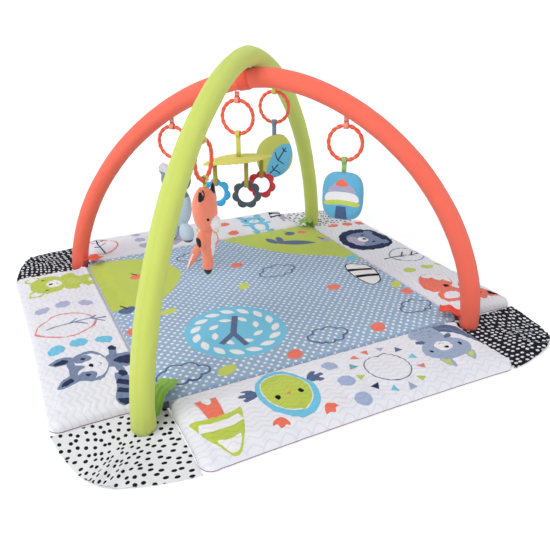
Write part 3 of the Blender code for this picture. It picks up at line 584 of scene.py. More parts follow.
def centre_prints():
    ground = "ground"
    out = [("lime", flow([(0.050, 0.2975), (0.180, 0.2975), (0.2970, 0.2975), (0.2975, 0.180), (0.2975, 0.036),
                          (0.235, 0.070), (0.150, 0.130), (0.085, 0.215)], 5)),
           ("lime", flow([(-0.2975, 0.030), (-0.2975, 0.150), (-0.2975, 0.270), (-0.230, 0.280), (-0.150, 0.230),
                          (-0.120, 0.140), (-0.180, 0.042), (-0.245, 0.024)], 5))]
    out += fruit("navy", 0.217, 0.250, 0.3) + fruit("coral", 0.253, 0.246, 0.0) + fruit("mauve", 0.280, 0.176, 0.0)
    out += [("navy", leaf(0.198, 0.186, 0.110, 0.030, -0.45)), ("navy", oval(0.150, 0.220, 0.010, 0.022, 0.3)),
            ("navy", oval(0.172, 0.220, 0.009, 0.022, -0.2))]
    out += fruit("navy", -0.272, 0.018, 0.1, 0.017) + fruit("coral", -0.215, 0.160, 0.4)
    stripe = [(0.232, 0.004), (0.262, 0.010), (0.288, -0.008), (0.288, -0.044), (0.272, -0.084), (0.250, -0.104),
              (0.228, -0.102), (0.220, -0.050)]
    out += outlined("black", "paper", flow(stripe, 5), 0.0030)
    out += [("black", bar([(0.224, -0.020), (0.286, -0.030)], 0.013)),
            ("black", bar([(0.224, -0.056), (0.280, -0.062)], 0.013))]
    out += [("sky", oval(0.278, 0.046, 0.018, 0.013, 0.7))]
    x0, y0 = -0.110, -0.157
    out += [("sky", oval(x0, y0, 0.095, 0.095, 0.0, 60))]
    for count, ring, length, width, start in ((15, 0.075, 0.031, 0.0145, 0.15), (8, 0.043, 0.025, 0.012, 0.1)):
        for i in range(count):
            turn = math.tau * i / count + start
            out.append(("paper", leaf(x0 + ring * math.cos(turn), y0 + ring * math.sin(turn), length, width,
                                      turn + 1.12, 0.8)))
    out += [("navy", bar([(x0 + 0.020, y0 + 0.052), (x0 - 0.010, y0 - 0.012)], 0.012)),
            ("navy", bar([(x0 - 0.008, y0 - 0.008), (x0 - 0.042, y0 - 0.034)], 0.011)),
            ("navy", bar([(x0 - 0.008, y0 - 0.008), (x0 - 0.002, y0 - 0.056)], 0.011))]
    for x, y, size, turn in ((-0.242, -0.247, 0.046, -0.15), (0.254, -0.226, 0.042, 0.2), (0.035, -0.247, 0.042, 0.0),
                             (0.080, 0.050, 0.048, 0.2), (-0.060, 0.210, 0.046, -0.1)):
        out += cloud(x, y, size, turn, ground)
    for x, y in ((-0.280, -0.070), (-0.048, -0.275), (0.136, -0.262), (0.283, -0.160), (0.150, -0.080), (0.010, 0.120)):
        out.append(("coral", oval(x, y, 0.0155, 0.0130, 0.4)))
    for x, y, turn in ((-0.173, -0.270, 0.3), (0.283, -0.122, 0.6), (-0.020, 0.010, 0.9), (-0.200, -0.030, 0.2)):
        out.append(("leaf", oval(x, y, 0.0180, 0.0110, turn)))
    return out


# ---- soft pads -----------------------------------------------------------------------------------
def pad_outline(low, high, radius, pull):
    """A rounded rectangle whose sides pull in between its corners; pull is by side: -y, +x, +y, -x."""
    corners = [(high[0] - radius, low[1] + radius, -90), (high[0] - radius, high[1] - radius, 0),
               (low[0] + radius, high[1] - radius, 90), (low[0] + radius, low[1] + radius, 180)]
    points = []
    for index, (x, y, start) in enumerate(corners):
        for i in range(7):
            turn = math.radians(start + 90 * i / 6)
            points.append(Vector((x + radius * math.cos(turn), y + radius * math.sin(turn))))
        last = points[-1].copy()
        nx, ny, nstart = corners[(index + 1) % 4]
        turn = math.radians(nstart)
        goal = Vector((nx + radius * math.cos(turn), ny + radius * math.sin(turn)))
        way = (goal - last)
        inward = Vector((-way.y, way.x)).normalized()
        steps = max(4, int(way.length / 0.0055))
        side = (index + 1) % 4
        for i in range(1, steps):
            share = i / steps
            bow = pull[side] * math.sin(math.pi * share) ** 0.7
            scallop = 0.0008 * noise.noise(Vector((share * way.length * 55.0, side * 7.3, low[0] * 31.0)))
            if pull[side] == 0.0:
                scallop = 0.0
            points.append(last + way * share + inward * (bow + abs(scallop)))
    return [(p.x, p.y) for p in points]


def edge_distance(points, outline):
    """Distance of each point to the outline, and the position along the outline of the nearest spot."""
    ring = np.array(outline)
    ahead = np.roll(ring, -1, axis=0)
    way = ahead - ring
    length = np.linalg.norm(way, axis=1)
    start = np.concatenate([[0.0], np.cumsum(length)[:-1]])
    best = np.full(len(points), 9.0)
    where = np.zeros(len(points))
    for i in range(len(ring)):
        share = np.clip(((points - ring[i]) @ way[i]) / max(length[i] ** 2, 1e-12), 0.0, 1.0)
        gap = np.linalg.norm(points - ring[i] - share[:, None] * way[i], axis=1)
        closer = gap < best
        best[closer] = gap[closer]
        where[closer] = start[i] + share[closer] * length[i]
    return best, where


def swell(name, outline, voxel, spare):
    """Fills a slack cover of the pad's outline by cloth simulation and returns how far its top moved."""
    bm = bmesh.new()
    inner = shrunk(outline, 0.002)
    verts = [bm.verts.new((x, y, 0.0040)) for x, y in inner[::2]]
    face = bm.faces.new(verts)
    grown = bmesh.ops.extrude_face_region(bm, geom=[face])
    bmesh.ops.translate(bm, vec=(0.0, 0.0, PAD_TOP - 0.0055),
                        verts=[g for g in grown["geom"] if isinstance(g, bmesh.types.BMVert)])
    bmesh.ops.recalc_face_normals(bm, faces=bm.faces)
    body = piece_from(bm, name)
    remesh = body.modifiers.new("Remesh", "REMESH")
    remesh.mode = "VOXEL"
    remesh.voxel_size = voxel
    depsgraph = bpy.context.evaluated_depsgraph_get()
    flat = bpy.data.meshes.new_from_object(body.evaluated_get(depsgraph))
    body.modifiers.clear()
    body.data = flat
    spots = np.array([v.co[:] for v in flat.vertices])
    gap, _ = edge_distance(spots[:, :2], outline)
    pins = body.vertex_groups.new(name="pins")
    held = [int(i) for i in np.where((gap < voxel * 1.6) & (spots[:, 2] < PAD_TOP * 0.62))[0]]
    held += [int(i) for i in np.where(spots[:, 2] < 0.0050)[0]]
    pins.add(sorted(set(held)), 1.0, "REPLACE")
    sim = body.modifiers.new("Cloth", "CLOTH")
    sim.settings.quality = 4
    sim.settings.mass = 0.25
    sim.settings.tension_stiffness = 12.0
    sim.settings.compression_stiffness = 12.0
    sim.settings.shear_stiffness = 4.0
    sim.settings.bending_stiffness = 0.12
    sim.settings.vertex_group_mass = "pins"
    sim.settings.shrink_min = -spare
    sim.settings.use_pressure = True
    sim.settings.uniform_pressure_force = 4.0
    sim.settings.effector_weights.gravity = 0.0
    sim.collision_settings.use_collision = False
    scene = bpy.context.scene
    sim.point_cache.frame_start = 1
    sim.point_cache.frame_end = SWELL_STEPS
    for step in range(1, SWELL_STEPS + 1):
        scene.frame_set(step)
    depsgraph = bpy.context.evaluated_depsgraph_get()
    full = bpy.data.meshes.new_from_object(body.evaluated_get(depsgraph))
    moved = np.array([v.co[:] for v in full.vertices]) - spots
    size = np.linalg.norm(moved, axis=1)
    moved *= np.minimum(1.0, SWELL_CAP / np.maximum(size, 1e-9))[:, None]
    top = spots[:, 2] > PAD_TOP * 0.5
    scene.frame_set(1)
    bpy.data.objects.remove(body, do_unlink=True)
    return spots[top][:, :2], moved[top]


def spread(points, seeds, values):
    """Smoothly carries the simulated movement over to a finer set of points."""
    tree = KDTree(len(seeds))
    for i, seed in enumerate(seeds):
        tree.insert((seed[0], seed[1], 0.0), i)
    tree.balance()
    out = np.zeros((len(points), 3))
    for i, point in enumerate(points):
        found = tree.find_n((point[0], point[1], 0.0), 6)
        weights = np.array([math.exp(-(gap / 0.012) ** 2 * 2.5) + 1e-6 for _, _, gap in found])
        out[i] = (values[[index for _, index, _ in found]] * weights[:, None]).sum(axis=0) / weights.sum()
    return out


def ruffle(along, gap, seed, pitch=0.012, reach=0.014, depth=0.0014):
    """Gathers that run in from a seam and die away."""
    out = np.empty(len(along))
    for i in range(len(along)):
        fold = noise.noise(Vector((along[i] / pitch, gap[i] * 18.0, seed)))
        fold += 0.5 * noise.noise(Vector((along[i] / pitch * 2.3, gap[i] * 30.0, seed + 9.1)))
        out[i] = fold * math.exp(-((gap[i] - 0.004) / reach) ** 2)
    return out * depth


def cut_sheet(outline, prints, ground, insets, field, margin):
    """Triangulates the outline along its prints' edges; returns the points and each triangle with its ink."""
    verts = [Vector(p) for p in outline]
    faces = [list(range(len(outline)))]
    names = [ground]
    for ink, points in prints:
        clean = facing_up(list(points))
        faces.append(list(range(len(verts), len(verts) + len(clean))))
        verts += [Vector(p) for p in clean]
        names.append(ground if ink == "ground" else ink)
    for by in insets:
        verts += [Vector(p) for p in shrunk(outline, by) if point_inside(p, outline)]
    verts += [Vector(p) for p in field]
    spots, _, tris, _, _, origins = delaunay_2d_cdt(verts, [], faces, 1, margin, True)
    inked = [(tri, names[max(origin)]) for tri, origin in zip(tris, origins) if 0 in origin and len(set(tri)) == 3]
    return np.array([(p.x, p.y) for p in spots]), inked


def pad_field(outline, grid, seed):
    """Slightly uneven grid points inside the pad, clear of its rim."""
    ring = np.array(outline)
    low, high = ring.min(axis=0), ring.max(axis=0)
    xs = np.arange(low[0] + grid / 2, high[0], grid)
    ys = np.arange(low[1] + grid / 2, high[1], grid)
    field = np.array([(x, y) for x in xs for y in ys])
    field += np.random.default_rng(seed).uniform(-0.12, 0.12, field.shape) * grid
    gap, _ = edge_distance(field, outline)
    inside = np.array([point_inside(p, outline) for p in field])
    return field[inside & (gap > 0.0135)]


def close_under(bm, order, outline):
    """Piping round the open rim, then the under side of the pad."""
    ring = np.array(outline)
    low, high, centre = ring.min(axis=0), ring.max(axis=0), ring.mean(axis=0)
    loop = [e for e in bm.edges if len(e.link_faces) == 1]
    for drop, inset, ink in ((0.0014, 0.0, "piping"), (0.0005, 0.0022, "under"), (0.0003, 0.0100, "under")):
        grown = bmesh.ops.extrude_edge_only(bm, edges=loop)["geom"]
        loop = [g for g in grown if isinstance(g, bmesh.types.BMEdge) and len(g.link_faces) == 1]
        for face in [g for g in grown if isinstance(g, bmesh.types.BMFace)]:
            face.material_index = order.index(ink)
        for vert in {v for e in loop for v in e.verts}:
            for axis in (0, 1):
                here = vert.co[axis]
                if abs(here - low[axis]) < 0.03 or abs(here - high[axis]) < 0.03:
                    vert.co[axis] += math.copysign(inset, float(centre[axis]) - here)
            vert.co.z = drop if ink != "piping" else min(vert.co.z, drop)
    bmesh.ops.contextual_create(bm, geom=loop)
    for face in bm.faces:
        if len(face.verts) > 4:
            face.material_index = order.index("under")
    bmesh.ops.triangulate(bm, faces=[f for f in bm.faces if len(f.verts) > 4])
    bmesh.ops.remove_doubles(bm, verts=bm.verts, dist=0.00004)
    bmesh.ops.recalc_face_normals(bm, faces=bm.faces)


def printed_pad(name, outline, prints, inks, ground, grid, rim, low_sides, quilt, sim, seed, flat_axis, edging):
    """A closed pad whose top is a fine sheet cut along the outlines of its prints."""
    flat, inked = cut_sheet(outline, prints, ground, (0.0007, 0.0022, 0.0044, 0.0072, 0.0105),
                            pad_field(outline, grid, seed), 1e-6)
    gap, along = edge_distance(flat, outline)
    side_rim = np.full(len(flat), rim)
    base = np.full(len(flat), PAD_UNDER)
    for axis, sign, limit in low_sides:
        near = sign * flat[:, axis] > limit
        base[near] = SEAM_GROOVE
        side_rim[near] = SEAM_RIM
    share = np.clip(gap / side_rim, 0.0, 1.0)
    z = base + (PAD_TOP - base) * np.sqrt(np.clip(1.0 - (1.0 - share) ** 2.2, 0.0, 1.0))
    soft = np.clip(gap / 0.010, 0.0, 1.0)
    if quilt:
        u, v = flat[:, flat_axis], flat[:, 1 - flat_axis]
        tooth = 1.0 - np.abs(((u / CHEVRON_RUN) % 1.0) - 0.5) * 2.0
        row = (v + tooth * CHEVRON_SWING) / CHEVRON_PITCH
        z += (np.abs(np.sin(math.pi * row)) ** 0.6 - 0.7) * QUILT_DEPTH * soft
    z += ruffle(along, gap, seed * 1.7, depth=0.0021) * np.clip(gap / 0.003, 0.0, 1.0)
    broad = np.array([noise.noise(Vector((p[0] * 9.0, p[1] * 9.0, seed * 3.1))) for p in flat])
    z += broad * 0.0011 * soft - 0.0012 * soft
    if sim is not None:
        moved = spread(flat, sim[0], sim[1])
        lift = moved[:, 2] - np.median(moved[:, 2])
        z += np.clip(lift, -0.0035, PAD_CREST) * soft
        flat = flat + np.clip(moved[:, :2], -0.0006, 0.0006) * soft[:, None]
    z = np.minimum(z, PAD_TOP + PAD_CREST)
    bm = bmesh.new()
    tops = [bm.verts.new((x, y, h)) for (x, y), h in zip(flat, z)]
    order = []
    for tri, ink in inked:
        if ink not in order:
            order.append(ink)
        bm.faces.new([tops[i] for i in tri]).material_index = order.index(ink)
    bmesh.ops.delete(bm, geom=[v for v in bm.verts if not v.link_faces], context="VERTS")
    bm.normal_update()
    if sum(f.normal.z for f in bm.faces) < 0:
        bmesh.ops.reverse_faces(bm, faces=bm.faces)
    order += ["piping", "under"]
    close_under(bm, order, outline)
    finish = {**inks, "piping": edging, "under": UNDER}
    piece = piece_from(bm, name, *[finish[ink] for ink in order])
    flat_map(piece.data, flat_axis == 1)
    piece.data.shade_smooth()
    return piece


def flat_map(mesh, swap=False):
    """UVs in metres, straight down."""
    layer = mesh.uv_layers.new(name="flat")
    for loop in mesh.loops:
        spot = mesh.vertices[loop.vertex_index].co
        layer.data[loop.index].uv = (spot.y, spot.x) if swap else (spot.x, spot.y)


def point_inside(point, outline):
    x, y = point[0], point[1]
    inside = False
    j = len(outline) - 1
    for i in range(len(outline)):
        xi, yi = outline[i]
        xj, yj = outline[j]
        if (yi > y) != (yj > y) and x < (xj - xi) * (y - yi) / (yj - yi) + xi:
            inside = not inside
        j = i
    return inside


def facing_up(points):
    """The outline in anticlockwise order."""
    area = sum(a[0] * b[1] - b[0] * a[1] for a, b in zip(points, points[1:] + points[:1]))
    return points if area > 0 else points[::-1]


def link_to_scene(piece):
    bpy.context.scene.collection.objects.link(piece)
    return piece


def skin(bm, rows, ends=True):
    """Smooth quads between rings of points: a rod with closed ends, or else a closed hoop."""
    for a, b in zip(rows, rows[1:] if ends else rows[1:] + rows[:1]):
        for j in range(len(a)):
            k = (j + 1) % len(a)
            bm.faces.new((a[j], a[k], b[k], b[j])).smooth = True
    if ends:
        bm.faces.new(rows[0])
        bm.faces.new(rows[-1][::-1])
    bmesh.ops.recalc_face_normals(bm, faces=bm.faces)


def piece_from(bm, name, *inks):
    """Turns a finished bmesh into a linked object with its materials."""
    mesh = bpy.data.meshes.new(name)
    bm.to_mesh(mesh)
    bm.free()
    for ink in inks:
        mesh.materials.append(ink)
    return link_to_scene(bpy.data.objects.new(name, mesh))


SIDES = {"front": 0, "right": 1, "back": 2, "left": 3}


def side_box(side):
    if side == "front":
        return (-WALL_HALF, -WALL_OUTER), (WALL_HALF, -WALL_INNER)
    if side == "back":
        return (-WALL_HALF, WALL_INNER), (WALL_HALF, WALL_OUTER)
    if side == "left":
        return (-WALL_OUTER, -WALL_HALF), (-WALL_INNER, WALL_HALF)
    return (WALL_INNER, -WALL_HALF), (WALL_OUTER, WALL_HALF)


def build_mat():
    for number, side in enumerate(SIDES):
        low, high = side_box(side)
        upright = side in ("left", "right")
        bow = {"front": (0.0045, 0.0018, 0.0, 0.0018), "back": (0.0, 0.0018, 0.0045, 0.0018),
               "left": (0.0018, 0.0, 0.0018, 0.0045), "right": (0.0018, 0.0045, 0.0018, 0.0)}[side]
        outline = pad_outline(low, high, 0.019, bow)
        sim = None
        sim = swell("swell_" + side, outline, 0.0055, 0.035)
        inner_side = {"front": (1, 1.0, -WALL_INNER - 0.014), "back": (1, -1.0, -WALL_INNER - 0.014),
                      "left": (0, 1.0, -WALL_INNER - 0.014), "right": (0, -1.0, -WALL_INNER - 0.014)}[side]
        piece = printed_pad("soft_wall_" + side, outline, wall_prints(side), WALL_INK, "white",
                            0.0031, 0.020, [inner_side], True, sim, number + 3,
                            1 if upright else 0, PIPING)
        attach(piece, "wall_" + side)
        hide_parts("wall_%s_cover" % side, "wall_%s_batting" % side)
    outline = pad_outline((-CENTRE_HALF, -CENTRE_HALF), (CENTRE_HALF, CENTRE_HALF), 0.010, (0.0, 0.0, 0.0, 0.0))
    sim = None
    sim = swell("swell_centre", outline, 0.0085, 0.02)
    inks = dict(MID_INK)
    inks["dots"] = MID_GROUND
    sides = [(0, 1.0, 0.284), (0, -1.0, 0.284), (1, 1.0, 0.284), (1, -1.0, 0.284)]
    piece = printed_pad("soft_centre", outline, centre_prints(), inks, "dots", 0.0050, 0.013,
                        sides, False, sim, 11, 0, MID_INK["steel"])
    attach(piece, "gym_frame")
    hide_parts("centre_cover", "centre_batting")


# ---- corner gussets and fold seams ---------------------------------------------------------------
def gusset_height(away, across, seed):
    """Slack folds that run out along the corner's diagonal; flat round the arch's foot."""
    out = min(1.0, max(0.0, (away - 0.505) / 0.055))
    fold = 0.0
    for offset, width, tall in ((-0.017, 0.0060, 0.0052), (0.004, 0.0075, 0.0075), (0.024, 0.0080, 0.0048),
                                (-0.040, 0.0120, 0.0026), (0.048, 0.0110, 0.0022)):
        drift = offset * (0.45 + 0.55 * out) + 0.004 * noise.noise(Vector((away * 22.0, seed, offset * 90.0)))
        fold += tall * math.exp(-((across - drift) / width) ** 2)
    crumple = 0.0016 * noise.noise(Vector((away * 55.0, across * 55.0, seed)))
    return max(0.0, (fold + crumple + 0.0008) * out)


def build_gusset_half(name, node, quarter, lower, ink, seed):
    """Half of a corner gusset, between the diagonal and one wall's end."""
    edge = [(0.4590, 0.2865), (0.4530, 0.3250), (0.4440, 0.3620), (0.4330, 0.3950), (0.4180, 0.4180)]
    outline = []
    foot = (GUSSET_INNER, GUSSET_INNER)
    steps = 34
    for i in range(steps):
        share = i / steps
        outline.append((foot[0] + (0.46 - foot[0]) * share, foot[1]))
    for a, b in zip(edge, edge[1:]):
        for i in range(5):
            outline.append((a[0] + (b[0] - a[0]) * i / 5, a[1] + (b[1] - a[1]) * i / 5))
    tip = edge[-1]
    for i in range(30):
        share = 1.0 - i / 30
        outline.append((foot[0] + (tip[0] - foot[0]) * share, foot[1] + (tip[1] - foot[1]) * share))
    grid = 0.0040
    field = []
    for i in range(48):
        for j in range(48):
            spot = (GUSSET_INNER + 0.002 + i * grid, GUSSET_INNER + 0.002 + j * grid)
            if spot[1] < spot[0] - 0.0028 and point_inside(spot, outline):
                gap, _ = edge_distance(np.array([spot]), outline)
                if gap[0] > 0.0018:
                    field.append(spot)
    verts = [Vector(p) for p in outline + field]
    spots, _, tris, _, _, _ = delaunay_2d_cdt(verts, [], [list(range(len(outline)))], 1, 1e-6, True)
    bm = bmesh.new()
    layer = bm.loops.layers.uv.new("flat")
    turn = Matrix.Rotation(math.radians(90.0 * quarter), 3, "Z")
    where = {}
    for level in (1, 0):
        skin = []
        for spot in spots:
            x, y = spot
            if not lower:
                x, y = y, x
            away = (x + y) / math.sqrt(2.0)
            across = (x - y) / math.sqrt(2.0)
            z = 0.0003 + gusset_height(away, across, seed) + 0.0009 * level
            vert = bm.verts.new(turn @ Vector((x, y, z)))
            slack = 0.030 * math.tanh(across / 0.024) * min(1.0, max(0.0, (away - 0.47) / 0.08))
            where[vert] = (away, across + slack)
            skin.append(vert)
        for tri in tris:
            bm.faces.new([skin[i] for i in tri] if level else [skin[i] for i in tri][::-1])
    bm.verts.ensure_lookup_table()
    bm.verts.index_update()
    half = len(spots)
    rims = [(e.verts[0].index, e.verts[1].index) for e in bm.edges
            if len(e.link_faces) == 1 and e.verts[0].index < half and e.verts[1].index < half]
    for a, b in rims:
        bm.faces.new((bm.verts[a], bm.verts[b], bm.verts[b + half], bm.verts[a + half]))
    bmesh.ops.recalc_face_normals(bm, faces=bm.faces)
    for face in bm.faces:
        face.smooth = True
        for loop in face.loops:
            loop[layer].uv = where[loop.vert]
    for rim in bm.edges:
        if len(rim.link_faces) == 2 and rim.calc_face_angle(0.0) > 0.9:
            rim.smooth = False
    piece = piece_from(bm, name, ink)
    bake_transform(piece)
    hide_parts(node)


def build_gussets():
    corners = (("back_right", 0, GUSSET_WHITE, "wall_right", "wall_back"),
               ("back_left", 1, GUSSET_BLACK, "wall_back", "wall_left"),
               ("front_left", 2, GUSSET_WHITE, "wall_left", "wall_front"),
               ("front_right", 3, GUSSET_BLACK, "wall_front", "wall_right"))
    for corner, quarter, ink, first, second in corners:
        build_gusset_half("soft_gusset_%s_a" % corner, "gusset_" + corner, quarter, True, ink, 2.0 + quarter)
        build_gusset_half("soft_gusset_%s_b" % corner, "gusset_" + corner, quarter, False, ink, 2.0 + quarter)


def build_fold_seams():
    """The sewn cloth between the centre and each wall."""
    for side, quarter in SIDES.items():
        turn = Matrix.Rotation(math.radians(90.0 * quarter), 3, "Z")
        bm = bmesh.new()
        layer = bm.loops.layers.uv.new("flat")
        columns = [0.2972, 0.2985, 0.2995, 0.3005, 0.3015, 0.3025, 0.3035, 0.3048]
        tops = [0.0152, 0.0146, 0.0139, 0.0132, 0.0132, 0.0139, 0.0146, 0.0152]
        rows = 150
        grid = []
        for i in range(rows + 1):
            x = -0.2835 + 0.567 * i / rows
            wave = 0.0004 * math.sin(x * 900.0)
            ring = [(x, -d, z + wave) for d, z in zip(columns, tops)]
            ring += [(x, -d, 0.0006) for d in reversed(columns)]
            grid.append([bm.verts.new(turn @ Vector(p)) for p in ring])
        count = len(grid[0])
        for a, b in zip(grid, grid[1:]):
            for j in range(count):
                k = (j + 1) % count
                face = bm.faces.new((a[j], b[j], b[k], a[k]))
                face.smooth = j < len(columns) - 1
        bm.faces.new(grid[0])
        bm.faces.new(grid[-1][::-1])
        bmesh.ops.recalc_face_normals(bm, faces=bm.faces)
        for face in bm.faces:
            for loop in face.loops:
                loop[layer].uv = (loop.vert.co.x, loop.vert.co.y)
        piece = piece_from(bm, "fold_seam_" + side, SEAM_INK)
        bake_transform(piece)


# ---- arches --------------------------------------------------------------------------------------
def arch_path(arch, count):
    """Evenly spaced centre points of an arch, foot to foot."""
    span, height, power, yaw, lean = arch
    fine = []
    for i in range(2401):
        t = math.pi * (1.0 - i / 2400)
        c = math.cos(t)
        rise = max(0.0, math.sin(t)) ** (2.0 / power)
        reach = math.copysign(span * abs(c) ** (2.0 / power), c)
        fine.append(Vector((reach + lean * rise, 0.0, height * rise)))
    length = [0.0]
    for a, b in zip(fine, fine[1:]):
        length.append(length[-1] + (b - a).length)
    turn = Matrix.Rotation(yaw, 3, "Z")
    low, high = 0.0018, length[-1] - 0.0018
    out = []
    j = 0
    for i in range(count):
        goal = low + (high - low) * i / (count - 1)
        while j < len(length) - 2 and length[j + 1] < goal:
            j += 1
        share = (goal - length[j]) / max(1e-9, length[j + 1] - length[j])
        out.append((turn @ fine[j].lerp(fine[j + 1], share), goal))
    return out, length[-1]


def tube(name, path, side_axis, reach, ink):
    """A swept tube; reach(s, angle) is its radius. UVs run along and round it in metres."""
    sides = ROUND_SIDES
    bm = bmesh.new()
    layer = bm.loops.layers.uv.new("flat")
    rows = []
    count = len(path)
    for i, (point, s) in enumerate(path):
        ahead = path[min(i + 1, count - 1)][0] - path[max(i - 1, 0)][0]
        tangent = ahead.normalized()
        normal = side_axis.cross(tangent).normalized()
        ring = []
        for j in range(sides):
            angle = math.tau * j / sides
            radius = reach(s, angle)
            ring.append(bm.verts.new(point + (side_axis * math.cos(angle) + normal * math.sin(angle)) * radius))
        rows.append(ring)
    for i in range(count - 1):
        for j in range(sides):
            k = (j + 1) % sides
            face = bm.faces.new((rows[i][j], rows[i][k], rows[i + 1][k], rows[i + 1][j]))
            face.smooth = True
            around = math.tau * SLEEVE / sides
            for loop, (u, v) in zip(face.loops, ((i, j), (i, j + 1), (i + 1, j + 1), (i + 1, j))):
                loop[layer].uv = (path[u][1], v * around)
    bm.faces.new(rows[0])
    bm.faces.new(rows[-1][::-1])
    bmesh.ops.recalc_face_normals(bm, faces=bm.faces)
    return piece_from(bm, name, ink)


def sleeve_reach(total, seed):
    """Radius of a padded sleeve: gathered at its feet, with a sewn seam along its under side."""

    def reach(s, angle):
        foot = min(s, total - s)
        radius = SLEEVE - 0.0003
        radius += 0.0006 * noise.noise(Vector((s * 16.0, math.cos(angle) * 1.3, seed + math.sin(angle) * 1.3)))
        radius += 0.0003 * noise.noise(Vector((s * 60.0, math.cos(angle) * 2.0, seed + math.sin(angle) * 2.0)))
        gather = math.exp(-(foot / 0.050) ** 2)
        folds = noise.noise(Vector((foot * 18.0, math.cos(angle) * 3.4, seed + math.sin(angle) * 3.4)))
        rings = noise.noise(Vector((foot * 85.0 + 2.0 * math.cos(angle), math.sin(angle) * 1.2, seed * 2.0)))
        radius += gather * (0.0024 * folds + 0.0016 * rings)
        off = (angle - 1.5 * math.pi + math.pi) % math.tau - math.pi
        radius += 0.0007 * math.exp(-(off / 0.055) ** 2) - 0.0006 * math.exp(-((off - 0.16) / 0.08) ** 2)
        radius -= 0.0006 * math.exp(-((off + 0.16) / 0.08) ** 2)
        if foot < 0.005:
            radius *= math.sqrt(max(0.05, 1.0 - ((0.005 - foot) / 0.005) ** 2 * 0.6))
        return radius

    return reach


def build_sleeve(name, arch, ink, seed):
    path, total = arch_path(arch, 230)
    axis = Matrix.Rotation(arch[3], 3, "Z") @ Vector((0.0, 1.0, 0.0))
    piece = tube("soft_" + name, path, axis, sleeve_reach(total, seed), ink)
    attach(piece, "gym_frame")
    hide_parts(name)


def build_foot_tab(name, node, arch, foot, ink):
    """A gathered tongue of cloth from a sleeve's foot to the centre pad's corner."""
    span = arch[0] * foot
    bm = bmesh.new()
    layer = bm.loops.layers.uv.new("flat")
    rows, columns = 30, 26
    inner = abs(span) - 0.3860
    grid = []
    for i in range(rows + 1):
        t = i / rows
        away = abs(span) - 0.0105 - (inner - 0.0105) * t
        climb = min(1.0, max(0.0, (0.446 - away) / 0.022))
        climb = climb * climb * (3.0 - 2.0 * climb)
        base = 0.0085 + (PAD_TOP + 0.0030 - 0.0085) * climb
        lift = 0.0070 * math.exp(-((t - 0.62) / 0.22) ** 2) + 0.0050 * max(0.0, t - 0.80) / 0.2
        wide = 0.0095 + 0.0070 * min(1.0, t * 1.4)
        line = []
        for j in range(columns + 1):
            w = 2.0 * j / columns - 1.0
            pleat = 0.0048 * (1.0 - 0.35 * t) * abs(math.sin(1.5 * math.pi * w + 0.5 + 0.6 * t))
            pleat += 0.0018 * noise.noise(Vector((t * 5.0, w * 3.0, span * 9.0)))
            z = base + lift + pleat + 0.0030 * (1.0 - w) * t
            line.append(bm.verts.new((math.copysign(away, span), w * wide, z)))
        grid.append(line)
    for i in range(rows):
        for j in range(columns):
            face = bm.faces.new((grid[i][j], grid[i + 1][j], grid[i + 1][j + 1], grid[i][j + 1]))
            face.smooth = True
            for loop, (u, v) in zip(face.loops, ((i, j), (i + 1, j), (i + 1, j + 1), (i, j + 1))):
                loop[layer].uv = (u * 0.0025, v * 0.0014)
    bmesh.ops.recalc_face_normals(bm, faces=bm.faces)
    if sum(f.normal.z for f in bm.faces) < 0:
        bmesh.ops.reverse_faces(bm, faces=bm.faces)
    bmesh.ops.solidify(bm, geom=list(bm.faces), thickness=0.0013)
    bmesh.ops.recalc_face_normals(bm, faces=bm.faces)
    bm.transform(Matrix.Rotation(arch[3], 4, "Z"))
    piece = piece_from(bm, name, ink)
    piece.data.shade_smooth()
    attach(piece, "gym_frame")
    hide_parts(node)


# ---- loops, straps and rings ---------------------------------------------------------------------
def ribbon(name, line, width, thick, place, yaw, ink, body, nodes):
    """A woven tape that follows a line in the YZ plane; its width lies along X."""
    bm = bmesh.new()
    layer = bm.loops.layers.uv.new("flat")
    section = []
    for a, b in ((-0.5, -0.28), (-0.47, -0.5), (0.0, -0.5), (0.47, -0.5), (0.5, -0.28),
                 (0.5, 0.28), (0.47, 0.5), (0.0, 0.5), (-0.47, 0.5), (-0.5, 0.28)):
        section.append((a * width, b * thick))
    rows = []
    run = [0.0]
    count = len(line)
    for i, point in enumerate(line):
        here = Vector(point)
        before = Vector(line[max(i - 1, 0)])
        after = Vector(line[min(i + 1, count - 1)])
        way = (after - before).normalized()
        side = Vector((-way.y, way.x))
        if i:
            run.append(run[-1] + (here - Vector(line[i - 1])).length)
        rows.append([bm.verts.new((x, here.x + side.x * t, here.y + side.y * t)) for x, t in section])
    for i in range(count - 1):
        a, b = rows[i], rows[i + 1]
        for j in range(len(section)):
            k = (j + 1) % len(section)
            face = bm.faces.new((a[j], a[k], b[k], b[j]))
            face.smooth = True
            for loop, (u, v) in zip(face.loops, ((i, j), (i, k), (i + 1, k), (i + 1, j))):
                loop[layer].uv = (run[u], section[v][0])
    bm.faces.new(rows[0])
    bm.faces.new(rows[-1][::-1])
    bmesh.ops.recalc_face_normals(bm, faces=bm.faces)
    bm.transform(Matrix.Translation(place) @ Matrix.Rotation(yaw, 4, "Z"))
    piece = piece_from(bm, name, ink)
    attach(piece, body)
    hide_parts(*nodes)
    return piece


def eye_line(stem, down):
    """A keyhole: up one leg of the stem, round the wire and back up the other leg."""
    radius, half = 0.00555, 0.00072
    lift = math.asin(half / radius)
    start = math.pi / 2 + lift
    sweep = math.tau - 2 * lift
    line = [(-half, stem), (-half, stem * 0.66), (-half, stem * 0.4), (-half * 1.05, radius * 1.5)]
    line += [(radius * math.cos(start + sweep * i / 24), radius * math.sin(start + sweep * i / 24)) for i in range(25)]
    line += [(half * 1.05, radius * 1.5), (half, stem * 0.4), (half, stem * 0.66), (half, stem)]
    if down:
        line = [(-y, -z) for y, z in line]
    return line


